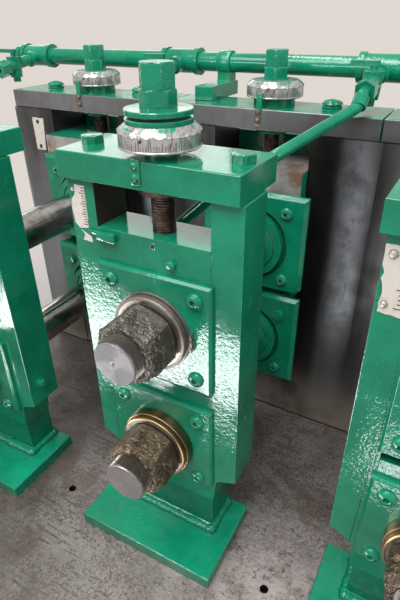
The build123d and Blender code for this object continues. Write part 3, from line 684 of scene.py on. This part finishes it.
def button_screw(mesh, place, turn):
    """A button-head screw: a low dome with a hexagonal socket sunk in its top."""
    turns, height, lip = 24, BUTTON_HEIGHT, SOCKET_FLATS / sqrt(3)
    dome = [(BUTTON_RADIUS, 0), (BUTTON_RADIUS, height * 0.16)]
    for k in range(1, 6):
        a = pi / 2 * k / 6.5
        dome.append((BUTTON_RADIUS * cos(a), height * (0.16 + 0.84 * sin(a))))
    wide = lip * 1.3
    socket = [(lip * 1.12, height), (wide, height - 0.0006), (wide, height * 0.3), (0, height * 0.2)]
    hexagon = hexagon_reach(SOCKET_FLATS, turn, 0)

    def reach(r, a, h):
        return r if h > height - 0.0003 else hexagon(r, a, h)

    rim = lathe(mesh, dome, turns, place, turn)[-1]
    edge = lathe(mesh, socket, turns, place, turn, reach=reach)[0]
    skin(mesh, rim, edge)


def bar(mesh, low, high, place=Matrix.Identity(4), chamfer=0.0006, index=0):
    """A bar between two corners, with its edges bevelled."""
    size, middle = Vector(high) - Vector(low), (Vector(high) + Vector(low)) / 2
    box = Matrix.LocRotScale(middle, None, size)
    made = bmesh.ops.create_cube(mesh, size=1, matrix=box)["verts"]
    edges = list({e for v in made for e in v.link_edges})
    cut = bmesh.ops.bevel(mesh, geom=edges, offset=chamfer, segments=2, affect="EDGES", profile=0.6)
    bmesh.ops.transform(mesh, matrix=place, verts=cut["verts"])
    for face in {f for v in cut["verts"] for f in v.link_faces}:
        face.material_index = index


def thin_plate(mesh, outline, y, thickness):
    """A flat plate with an (x, z) outline, seated at y and facing -Y."""
    back, front = ([mesh.verts.new((x, level, z)) for x, z in outline] for level in (y, y - thickness))
    mesh.faces.new(front)
    skin(mesh, back, front)


def ragged(outline, step, amount, seed):
    """Splits an outline into short steps and moves them a little, like a torn edge."""
    chance = random.Random(seed)
    made = []
    for (x0, z0), (x1, z1) in zip(outline, outline[1:] + outline[:1]):
        parts = max(1, round(hypot(x1 - x0, z1 - z0) / step))
        for k in range(parts):
            t = k / parts
            dx, dz = (chance.uniform(-amount, amount) for _ in range(2))
            made.append((x0 + (x1 - x0) * t + dx, z0 + (z1 - z0) * t + dz))
    return made


def lumps(mesh, amount, scale, seed):
    """Moves every vertex a little, as a hammer, a brush or a casting leaves a surface."""
    offset = Vector((seed * 3.1, seed * 1.7, seed * 2.3))
    for vertex in mesh.verts:
        vertex.co += noise.noise_vector(vertex.co * scale + offset) * amount


def bead(mesh, path, radius, seed):
    """A weld bead: a lumpy round rope along a closed path."""
    offset, sides, up = Vector((seed, seed * 0.7, 0.3)), 8, Vector((0, 0, 1))
    rings = []
    for k, point in enumerate(path):
        along = (path[(k + 1) % len(path)] - path[k - 1]).normalized()
        side = along.cross(up).normalized()
        ripple = radius * (1 + 0.07 * sin(k * 1.9) + 0.34 * noise.noise(point * 55 + offset))
        angles = [2 * pi * j / sides for j in range(sides)]
        rings.append([mesh.verts.new(point + (side * cos(a) + up * sin(a)) * ripple) for a in angles])
    for low, high in zip(rings, rings[1:] + rings[:1]):
        skin(mesh, low, high)


# Nuts on the arbors

WASHER, BRONZE, GAP_SHADE, THREAD, END = range(1, 6)
# The near-black bands between the rings and round the thread are painted shade in the gaps.
TOP_RINGS = (
    (mm((40, 0), (71, 0), (71, 3), (70.2, 3.6), (66, 3.6)), WASHER),
    (mm((66.2, 3.4), (66.2, 6.2)), GAP_SHADE),
    (mm((66, 6), (67.6, 6), (68, 6.8), (68, 15), (67.2, 16.2)), WASHER),
    (mm((67.2, 16.2), (65.5, 16.8), (63.6, 17.2)), WASHER),
    (mm((63.6, 17.2), (62.8, 15.8), (40, 15.4)), THREAD),
    (mm((56, 14.6), (55.6, 19.2), (40, 19.6)), GAP_SHADE),
)
BOTTOM_RINGS = (
    (mm((40, 0), (69.2, 0), (70, 1), (70, 17.6), (69, 18.8), (66, 18.8)), BRONZE),
    (mm((66, 18.6), (66, 20.6)), GAP_SHADE),
    (mm((65.5, 20.5), (66.4, 20.5), (67, 21.2), (67, 26.2), (66, 27.6)), BRONZE),
    (mm((66, 27.6), (64.8, 28.2), (63.4, 28.4)), BRONZE),
    (mm((63.4, 28.4), (62.8, 26.8), (40, 26.4)), THREAD),
    (mm((56, 25.8), (55.6, 29.2), (40, 29.6)), GAP_SHADE),
)
# For each level: turn of the nut, rings under it, places of the tabs and radius of the centre hole
LEVELS = {
    "top": (radians(40), TOP_RINGS, (10, 0, -9), 0.0062),
    "bottom": (radians(44.9), BOTTOM_RINGS, (), 0.0018),
}


def nut_profile(foot):
    """A nut from its foot to its mouth, cut back by a cone at both ends."""
    flat, corner, front = NUT_FLATS / 2, NUT_FLATS / sqrt(3), foot + NUT_LENGTH
    mouth = flat - 0.003
    profile = [(flat - 0.006, foot + 0.0006)]
    for k in range(NUT_ROWS + 1):
        s = k / NUT_ROWS
        foot_cone = flat + 0.0015 + s * NUT_LENGTH * 1.7
        front_cone = mouth + (1 - s) * NUT_LENGTH * 0.62
        profile.append((min(corner, foot_cone, front_cone), foot + NUT_LENGTH * s))
    for share in (0.75, 0.5, 0.25):
        profile.append((THREAD_RADIUS + 0.0012 + (mouth - THREAD_RADIUS) * share, front))
    return profile + [(THREAD_RADIUS + 0.0016, front - 0.0012), (THREAD_RADIUS + 0.0004, front - 0.004)]


def batter(mesh, x, z, foot_y, seed):
    """Pushes the skin of a nut in and out, most of all towards its front."""
    for vertex in mesh.verts:
        out = Vector((vertex.co.x - x, 0, vertex.co.z - z))
        if out.length < THREAD_RADIUS + 0.001:
            continue
        s = (foot_y - vertex.co.y) / NUT_LENGTH
        rough_share = 0.12 + 0.88 * min(1, max(0, (s - 0.5) / 0.35))
        coarse = noise.noise(vertex.co * 60 + Vector((seed, 0, 0)))
        ridged = 1 - 2 * abs(noise.noise(vertex.co * 120 + Vector((0, seed, 3))))
        fine = noise.noise(vertex.co * 300 + Vector((0, seed, 0)))
        push = (coarse * 0.0026 + ridged * 0.0019 + fine * 0.0011) * rough_share - 0.0016 * rough_share
        vertex.co += out.normalized() * push
        if s > 0.9:
            vertex.co.y += noise.noise(vertex.co * 110 + Vector((0, 0, seed))) * 0.0028 + ridged * 0.0009


def arbor_thread(mesh, start, end, place):
    """Thread of an arbor in front of its nut: roots in near-black painted shade between bright crests."""
    root, crest = THREAD_RADIUS + 0.00015, THREAD_RADIUS + 0.001
    while start < end - ARBOR_PITCH:
        lathe(mesh, [(root, start), (root, start + 0.0017)], 72, place, index=GAP_SHADE)
        turn = [(root, start + 0.0017), (crest, start + 0.0021), (crest, start + 0.0029)]
        lathe(mesh, turn + [(root, start + ARBOR_PITCH)], 72, place, index=THREAD)
        start += ARBOR_PITCH


def arbor_nut(bay, level):
    """The hammered hexagonal nut of an arbor, the rings under it, the thread and the faced end."""
    turn, rings, tabs, hole = LEVELS[level]
    top = level == "top"
    x, z = AXIS_X[bay], (TOP_Z[bay] if top else BOTTOM_Z)
    node = f"{level}_arbor_nut_{bay}"
    low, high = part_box(node)
    place = upright((x, high.y, z))
    foot = high.y - low.y - NUT_LENGTH
    mesh = bmesh.new()
    lathe(mesh, nut_profile(foot), NUT_TURNS, place, reach=hexagon_reach(NUT_FLATS, turn, 0.0004))
    batter(mesh, x, z, high.y - foot, 11 * BAYS.index(bay) + (0 if top else 5))
    for profile, index in rings:
        lathe(mesh, profile, 96, place, index=index)
    for angle in tabs:
        tab = place @ Matrix.Rotation(radians(angle), 4, "Z")
        bar(mesh, (0.066, -0.0045, 0.0005), (0.0785, 0.0045, 0.0034), tab, 0.0008, THREAD)
        bar(mesh, (0.0745, -0.004, 0.0015), (0.078, 0.004, 0.01), tab, 0.0008, WASHER)
    reach = high.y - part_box(f"{level}_arbor_{bay}")[0].y
    arbor_thread(mesh, foot + NUT_LENGTH - 0.004, reach - 0.0025, place)
    tip, rim = reach + 0.0003, hole * 1.15
    disc = [(THREAD_RADIUS + 0.0003, tip - 0.0028), (THREAD_RADIUS - 0.0018, tip)]
    lathe(mesh, disc + [(0.028, tip), (0.012, tip), (rim, tip)], 72, place, index=END)
    lathe(mesh, [(rim, tip), (hole, tip + 0.0001), (hole * 0.72, tip - 0.0003)], 48, place, index=WASHER)
    steel, end = (nut_steel, end_grey) if top else (brown_nut, end_dull)
    materials = [steel, washer_steel, bronze, gap_shade_black, thread_steel, end]
    body = f"{level}_arbor_assembly_{bay}"
    made = finish_piece(mesh, f"hammered_nut_{level}_{bay}", materials, 26, body, [node])
    move_origin(made, place)


for bay in BAYS:
    arbor_nut(bay, "top")
    arbor_nut(bay, "bottom")


# Adjusting screws and dials

PAINTED, RETAINER, DARK = range(1, 4)


def screw_thread(mesh, foot, end, place):
    """The plain tip and the coarse thread of an adjusting screw."""
    turn = ((0, ROOT_RADIUS), (0.22, ROOT_RADIUS), (0.45, CREST_RADIUS), (0.72, CREST_RADIUS))
    profile = [(0, foot), (ROOT_RADIUS - 0.001, foot)]
    level = foot + 0.001
    while level < end - SCREW_PITCH:
        profile += [(radius, level + share * SCREW_PITCH) for share, radius in turn]
        level += SCREW_PITCH
    lathe(mesh, profile + [(ROOT_RADIUS, level), (ROOT_RADIUS, end)], 40, place)


def adjusting_screw(bay, side, lower_turn, upper_turn):
    """A threaded screw with its retainer, flange and double hexagon head."""
    node = f"{side}_screw_{bay}"
    low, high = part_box(node)
    place = Matrix.Translation(((low.x + high.x) / 2, (low.y + high.y) / 2, 0))
    foot, top = CAP_FOOT - 0.0123, CAP_FOOT - 0.0003
    outboard = side == "outboard"
    mesh = bmesh.new()
    screw_thread(mesh, low.z, foot, place)
    dial_low, dial_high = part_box(f"{side}_dial_{bay}")
    above, under, collar = CAP_TOP + 0.0004, dial_low.z - 0.0001, 0.024 if outboard else 0.0445
    retainer = [(0.017, foot), (0.0352, foot), (0.036, foot + 0.001), (0.036, top - 0.001), (0.0352, top)]
    lathe(mesh, retainer + [(ROD_RADIUS, top), (ROD_RADIUS, above)], 48, place, index=RETAINER)
    spacer = [(ROD_RADIUS, above), (collar, above), (collar, under), (ROD_RADIUS, under)]
    lathe(mesh, spacer, 48, place, index=PAINTED)
    level = dial_high.z
    if outboard:
        rim = mm((40, 0), (48.6, 0.2), (49, 1.2), (48.8, 6), (47.6, 7), (41.5, 7.2), up=level)
        lathe(mesh, rim, 64, place, index=PAINTED)
        # The narrow neck between rim and flange is near black: painted shade.
        lathe(mesh, mm((41.5, 7), (41.5, 11.2), up=level), 64, place, index=DARK)
        level += 0.011
        flange = mm((41.5, 0), (48.2, 0.1), (49.1, 1.1), (49.1, 6.6), (48, 7.8), (24, 8.2), up=level)
        lathe(mesh, flange, 64, place, index=PAINTED)
        level += 0.008
    step = level + LOWER_HEAD_HEIGHT
    sunk = 0.0004 if outboard else -0.0004
    hexagons = ((LOWER_HEAD_FLATS, level, step, lower_turn), (UPPER_HEAD_FLATS, step, high.z, upper_turn))
    for flats, foot, top, turn in hexagons:
        shape = [(0.03, foot + sunk), (0.03, top - 0.003), (flats * 0.545, top - 0.0012)]
        shape += [(flats * 0.5, top), (flats * 0.3, top + 0.0001), (0, top - 0.0002)]
        reach = hexagon_reach(flats, radians(turn), 0.001)
        lathe(mesh, shape, 72, place, index=PAINTED, reach=reach)
    materials = [screw_steel, rough_green, screw_steel if outboard else green, black_and_shade]
    body = f"{side}_screw_assembly_{bay}"
    made = finish_piece(mesh, f"{side}_threaded_screw_{bay}", materials, 28, body, [node])
    move_origin(made, place)


def dial(bay, side):
    """A chromed dial: a graduated band between a bright lip and a scalloped bevel."""
    node = f"{side}_dial_{bay}"
    low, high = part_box(node)
    place = Matrix.Translation(((low.x + high.x) / 2, (low.y + high.y) / 2, low.z))
    bore, top = ROD_RADIUS + 0.0002, high.z - low.z
    mesh = bmesh.new()
    band = [(DIAL_BAND, 0.0036), (DIAL_BAND, 0.0205), (0.06, 0.0212)]
    lathe(mesh, [(bore, 0)] + mm((58.8, 0), (60.3, 1.2), (60.3, 2.8)) + band, 96, place)

    def wave(angle):
        return abs(sin(angle * DIAL_FACETS / 2))

    def scallop(radius, angle, height):
        return radius - 0.0011 * wave(angle) if height == DIAL_SHOULDER else radius

    bevel = [(0.06, 0.0212), (0.0602, DIAL_SHOULDER), (0.056, 0.0278), (0.0495, top), (bore, top)]
    rings = lathe(mesh, bevel, DIAL_TURNS, place, reach=scallop)
    for ring, lift in ((rings[1], 0.0016), (rings[2], 0.0007)):
        for k, vertex in enumerate(ring):
            vertex.co.z -= lift * wave(2 * pi * k / DIAL_TURNS)
    for k in range(DIAL_MARKS):
        half, tall = (0.00028, 0.0115) if k % 5 else (0.0004, 0.0165)
        spin = Matrix.Rotation(2 * pi * k / DIAL_MARKS, 4, "Z")
        corners = ((-half, 0.004), (half, 0.004), (half, tall), (-half, tall))
        mark = [place @ (spin @ Vector((DIAL_BAND + 0.00012, y, z))) for y, z in corners]
        mesh.faces.new([mesh.verts.new(corner) for corner in mark]).material_index = 1
    # A black disc on the band: painted shade standing in for a small hole.
    hole = upright(place @ Vector((0.007, -0.0592, 0.017)), (0.117, -0.993, 0))
    lathe(mesh, mm((2.1, 0), (2.1, 0.7), (0, 0.7)), 12, hole, index=1)
    name, body = f"{side}_graduated_dial_{bay}", f"{side}_screw_assembly_{bay}"
    made = finish_piece(mesh, name, [chrome, black_and_shade], 24, body, [node])
    move_origin(made, place)


for bay, lower, upper in (("left", 8, 36), ("centre", 30, 14), ("right", 26, 50)):
    adjusting_screw(bay, "outboard", lower, upper)
    adjusting_screw(bay, "inboard", 49, 49)
    dial(bay, "outboard")
    dial(bay, "inboard")


# Fasteners, strips and welds


def outboard_cap_bolts(bay):
    """Hexagon bolts in the outboard cap."""
    mesh = bmesh.new()
    for side, turn in ((-0.136, 0.35), (0.124, 0.12)):
        place = Matrix.Translation((AXIS_X[bay] + side, FACE[bay] + 0.051, CAP_TOP))
        hex_head(mesh, BOLT_FLATS, BOLT_HEIGHT, place, turn)
    lumps(mesh, 0.0006, 60, 3)
    finish_piece(mesh, f"outboard_cap_bolts_{bay}", [smooth_green], 30)


def outboard_pointer_strip(bay):
    """Pointer strip under the outboard dial, with its two round screws."""
    x, front = AXIS_X[bay], FACE[bay] - PROUD
    mesh = bmesh.new()
    bar(mesh, (x - 0.019, front - 0.0025, CAP_TOP - 0.034), (x - 0.004, front + 0.001, CAP_TOP + 0.002))
    for height in POINTER_SCREWS:
        place = upright((x - 0.0115, front - 0.002, CAP_TOP + height))
        lathe(mesh, mm((6.6, 0), (6.4, 2), (4.5, 4.2), (2, 5), (0, 4.6)), 14, place)
    lumps(mesh, 0.0009, 180, 5)
    finish_piece(mesh, f"outboard_pointer_strip_{bay}", [rough_green], 40)


def cover_screws(name, bay, z, y, rows, body):
    """Two screws in each row of a cover, or bolts in the upper row of an inboard bottom cover."""
    mesh = bmesh.new()
    for side in (-SCREW_SPREAD, SCREW_SPREAD):
        for row in rows:
            place = upright((AXIS_X[bay] + side, y, z + row))
            if name == "inboard_bottom" and row > 0:
                hex_head(mesh, COVER_BOLT_FLATS, COVER_BOLT_HEIGHT, place, 0.2)
            else:
                button_screw(mesh, place, random.random())
    finish_piece(mesh, f"{name}_cover_screws_{bay}", [green], 35, body)


def block_fittings(bay):
    """On the upper block: its small bolt, its grease hole and the pointer bar beside the scale."""
    x, face, base = AXIS_X[bay], FACE[bay] - 0.0003, BED_TOP + LIFT[bay]
    mesh = bmesh.new()
    hex_head(mesh, 0.015, 0.007, upright((x + 0.035, face, base + 0.63)), 0.3)
    hole = upright((x + 0.002, face - 0.0004, base + 0.653))
    lathe(mesh, mm((6.2, 0), (5, 0.8), (4, 0.8), (3.2, 0)), 18, hole)
    # A dark disc in the grease hole: painted shade.
    lathe(mesh, mm((3.8, 0.3), (0, 0.3)), 18, hole, index=1)
    bar(mesh, (x - 0.12, face - 0.0045, base + 0.654), (x - 0.096, face - 0.001, base + 0.66))
    bar(mesh, (x - 0.1005, face - 0.0095, base + 0.646), (x - 0.065, face, base + 0.661), chamfer=0.0022)
    lumps(mesh, 0.0011, 150, 9)
    materials = [rough_green, black_and_shade]
    finish_piece(mesh, f"block_fittings_{bay}", materials, 40, f"top_carriage_{bay}")


def pedestal_weld(bay):
    """Weld bead round the foot of the pedestal."""
    x, y0, y1 = AXIS_X[bay], FACE[bay] - 0.001, FACE[bay] + PEDESTAL_DEPTH + 0.001
    x0, x1 = x - PEDESTAL_HALF - 0.001, x + PEDESTAL_HALF + 0.001
    level = BASE_TOP + 0.002
    corners = [Vector((*corner, level)) for corner in ((x0, y0), (x1, y0), (x1, y1), (x0, y1))]
    path = []
    for a, b in zip(corners, corners[1:] + corners[:1]):
        steps = round((b - a).length / WELD_STEP)
        path += [a.lerp(b, k / steps) for k in range(steps)]
    mesh = bmesh.new()
    bead(mesh, path, WELD_RADIUS, BAYS.index(bay) + 1)
    finish_piece(mesh, f"pedestal_weld_{bay}", [feet_green], 80)


def inboard_cap_bolts(bay):
    """Mushroom-head bolts on the inboard cap, each over a washer."""
    washer = mm((20.5, 0), (21.2, 1), (21, 3.6), (19, 4.4), (16.5, 4.6))
    head = mm((16.5, 6.2), (20, 6.4), (21.7, 7.6), (20.5, 11), (15, 14.2))
    recess = mm((9, 15.6), (7.5, 15.2), (6, 12), (0, 11.8))

    def star(radius, angle, height):
        return radius * (1 - 0.1 * (height > 0.007) * max(0, cos(6 * angle)))

    mesh = bmesh.new()
    for side in (-0.165, 0.114):
        place = Matrix.Translation((AXIS_X[bay] + side, INBOARD_Y + 0.078, CAP_TOP))
        lathe(mesh, washer + head + recess, 48, place, reach=star)
    lumps(mesh, 0.0006, 90, 4)
    finish_piece(mesh, f"inboard_cap_bolts_{bay}", [rough_green], 40)


def inboard_pointer_strip(bay):
    """Pointer strip in front of the inboard dial, with two copper screws."""
    x, behind = AXIS_X[bay], INBOARD_Y + 0.0005
    mesh = bmesh.new()
    bar(mesh, (x - 0.022, INBOARD_Y - 0.003, CAP_TOP - 0.002), (x - 0.01, behind, CAP_TOP + 0.031))
    front = INBOARD_Y - 0.002
    bar(mesh, (x - 0.025, front, CAP_TOP - 0.034), (x - 0.012, behind, CAP_TOP + 0.001), index=2)
    for height in POINTER_SCREWS:
        place = upright((x - 0.0185, INBOARD_Y - 0.0018, CAP_TOP + height))
        lathe(mesh, mm((6.2, 0), (6, 2), (4.2, 3.8), (0, 4.4)), 14, place, index=1)
    lumps(mesh, 0.0006, 160, 6)
    finish_piece(mesh, f"inboard_pointer_strip_{bay}", [rough_green, copper, cap_paint], 40)


random.seed(7)
noise.seed_set(7)
for bay in BAYS:
    outboard_cap_bolts(bay)
    outboard_pointer_strip(bay)
    front, carriage = FACE[bay] - PROUD, f"top_carriage_{bay}"
    cover_screws("top", bay, TOP_Z[bay], front, (-0.076, 0.076), carriage)
    cover_screws("bottom", bay, BOTTOM_Z, front, (-0.066, 0.077), "stand_frame")
    cover_screws("inboard_top", bay, TOP_Z[bay], INBOARD_COVER_Y, (-0.077, 0.081), carriage)
    cover_screws("inboard_bottom", bay, BOTTOM_Z, INBOARD_COVER_Y, (-0.077, 0.081), "stand_frame")
    block_fittings(bay)
    pedestal_weld(bay)
    inboard_cap_bolts(bay)
    inboard_pointer_strip(bay)


# Scales and plugs

TICKS, SCALE_SCREWS = 1, 2
TORN = mm((-139, 730), (-141, 712), (-149, 706), (-150.5, 690), (-147, 666), (-139, 657))
TORN += mm((-121, 660), (-120, 690), (-120.5, 730))
REMNANT = mm((-137, 656), (-129.5, 652), (-117.5, 646), (-115.5, 637), (-136, 637), (-130, 648))
WHOLE = mm((-152.5, 727), (-151.5, 700), (-148.5, 690), (-150.5, 683), (-146, 668), (-147, 655))
WHOLE += mm((-147.5, 636), (-119.5, 634), (-118.5, 727))
INNER = mm((-190, 717.5), (-150, 717.5), (-158, 634), (-189, 633))


def scale_ticks(mesh, x, low, high, count, y, seed):
    """Short black graduation lines up one side of a scale, each ending at x."""
    chance = random.Random(seed)
    for k in range(count):
        z = low + (high - low) * (k + 0.5) / count
        length, half = 0.0065 if k % 4 else 0.01, 0.0007
        tilt = chance.uniform(-0.0004, 0.0004)
        tip = x - length
        corners = ((tip, z - half + tilt), (x, z - half), (x, z + half), (tip, z + half + tilt))
        mesh.faces.new([mesh.verts.new((cx, y, cz)) for cx, cz in corners]).material_index = TICKS


def scale_plate(name, bay, outline, y, seed, ticks=None, screws=(), screw_material=zinc):
    """A thin enamelled scale with ticks and small round screws, placed from its bay's axis."""
    x = AXIS_X[bay]
    mesh = bmesh.new()
    thin_plate(mesh, [(x + px, BED_TOP + pz) for px, pz in ragged(outline, 0.006, 0.0007, seed)], y, 0.0008)
    if ticks:
        edge, low, high, count = ticks
        scale_ticks(mesh, x + edge, BED_TOP + low, BED_TOP + high, count, y - 0.001, seed)
    for side, height, radius in screws:
        place = upright((x + side, y - 0.0007, BED_TOP + height))
        shape = [(radius * 1.25, 0), (radius * 1.25, 0.0003), (radius, 0.0004), (radius * 0.95, 0.002)]
        lathe(mesh, shape + [(radius * 0.6, 0.0032), (0, 0.0034)], 18, place, index=SCALE_SCREWS)
    finish_piece(mesh, name, [enamel, black_and_shade, screw_material], 50)


torn_ticks, torn_screws = (-0.1208, 0.664, 0.728, 15), [(-0.1435, 0.722, 0.0028)]
scale_plate("torn_scale_centre", "centre", TORN, FACE["centre"], 3, torn_ticks, torn_screws)
scale_plate("scale_remnant_centre", "centre", REMNANT, FACE["centre"], 4)
whole_ticks = (-0.12, 0.642, 0.712, 11)
whole_screws = [(-0.1417, 0.7155, 0.0052), (-0.1413, 0.6477, 0.0046)]
for bay in ("left", "right"):
    scale_plate(f"scale_plate_{bay}", bay, WHOLE, FACE[bay], 5 + len(bay), whole_ticks, whole_screws)
inner_screws = [(-0.172, 0.708, 0.0042), (-0.174, 0.643, 0.0042)]
for bay in BAYS:
    inner_y, seed = INBOARD_Y - 0.0032, 15 + len(bay)
    scale_plate(f"inboard_scale_{bay}", bay, INNER, inner_y, seed, None, inner_screws, black_and_shade)


def side_plug(bay, height):
    """A bolt on the left stand's side, or a plugged hole in the centre stand's side."""
    mesh = bmesh.new()
    place = upright((AXIS_X[bay] + STAND_HALF, FACE[bay] + 0.033, BED_TOP + height), (1, 0, 0))
    if bay == "left":
        lathe(mesh, mm((12.5, 0), (12.2, 1.6), (9, 2)), 24, place)
        hex_head(mesh, 0.017, 0.0085, place @ Matrix.Translation((0, 0, 0.0016)), 0.3)
    else:
        lathe(mesh, mm((6, 0), (4.8, 0.9), (3.6, 0.3), (0, 0.2)), 18, place)
    lumps(mesh, 0.0006, 120, 2)
    finish_piece(mesh, f"stand_side_plug_{bay}", [rough_green], 40)


side_plug("left", 0.25)
side_plug("centre", 0.341)


# Floor, which fades into the background

floor_mesh = bmesh.new()
bmesh.ops.create_grid(floor_mesh, x_segments=1, y_segments=1, size=30)
floor_data = bpy.data.meshes.new("floor")
floor_mesh.to_mesh(floor_data)
floor_mesh.free()
floor = put("floor", floor_data)
floor.location.z = -0.001
paint = Paint("floor")
floor_grey = paint.mix(paint.noise(3, 3), (380, 370, 360), (420, 410, 400))
floor_data.materials.append(paint.done(floor_grey, 0.85))
far_light = paint.node("ShaderNodeEmission", {"Color": light(WALL)})
far = paint.times(paint.span(paint.length(paint.place), 1.5, 3.4), paint.in_sight())
paint.show(far, paint.shader.outputs[0], far_light.outputs[0], "Material Output")


# Background, which lights the part in one colour and shows the wall's

world = bpy.data.worlds.new("studio")
bpy.context.scene.world = world
world.use_nodes = True
sky = Nodes(world.node_tree)
background = sky.tree.nodes["Background"]
background.inputs["Strength"].default_value = 0.72
background.inputs["Color"].default_value = light((930, 970, 1000))
wall = sky.node("ShaderNodeBackground", {"Color": light(WALL)})
sky.show(sky.in_sight(), background.outputs[0], wall.outputs[0], "World Output")


# Lamps

WARM, SOFT, COOL, CLEAR = (1, 0.985, 0.97), (1, 0.99, 0.98), (0.97, 0.99, 1), (0.98, 0.99, 1)


def lamp(name, place, target, size, power, colour, glints_only=False):
    """A rectangular lamp aimed at a target. One for glints only shows in reflections alone."""
    data = bpy.data.lights.new(name, "AREA")
    data.shape = "RECTANGLE"
    data.size, data.size_y = size
    data.energy = power
    data.color = colour
    made = put(name, data)
    made.location = place
    made.rotation_euler = (Vector(target) - Vector(place)).to_track_quat("-Z", "Y").to_euler()
    made.visible_camera = False
    made.visible_diffuse = not glints_only


lamp("overhead_front", (-0.2, -1.5, 3.8), (-0.1, -0.15, 0.8), (3, 1.6), 130, WARM)
lamp("left_behind", (-3.1, 3, 3.05), (0, 0, 1.3), (3.4, 1.9), 36, SOFT)
lamp("low_front", (-0.68, -1, 0.33), (-0.68, -0.18, 0.9), (1.62, 0.25), 29, COOL, True)
lamp("low_right", (0.42, -1, 0.13), (0.42, -0.18, 0.8), (0.16, 0.22), 1.5, COOL, True)
lamp("overhead_glint", (-0.4, 0.05, 3.6), (-0.2, 0.1, 1.2), (2.8, 0.3), 42, CLEAR, True)
lamp("front_glint", (-0.9, -2.3, 1.9), (0, -0.2, 0.8), (1.4, 0.35), 20, CLEAR, True)
lamp("right", (3, -0.6, 2.4), (0, -0.1, 1), (1.8, 1.8), 26, SOFT)


# Camera at the photograph's place

CAMERA_PLACE = (0.3932, -0.7351, 1.5697)
YAW, DOWN, ROLL = 29.3, 30.83, -0.75
LENS, SENSOR = 29.12, 36
camera_data = bpy.data.cameras.new("camera")
camera_data.lens = LENS
camera_data.sensor_width = SENSOR
camera_data.clip_start, camera_data.clip_end = 0.01, 100
camera = put("camera", camera_data)
camera.matrix_world = Matrix.Translation(CAMERA_PLACE)
for angle, axis in ((YAW, "Z"), (90 - DOWN, "X"), (ROLL, "Z")):
    camera.matrix_world @= Matrix.Rotation(radians(angle), 4, axis)
bpy.context.scene.camera = camera
bpy.context.scene.view_settings.view_transform = "Standard"

bpy.context.view_layer.update()
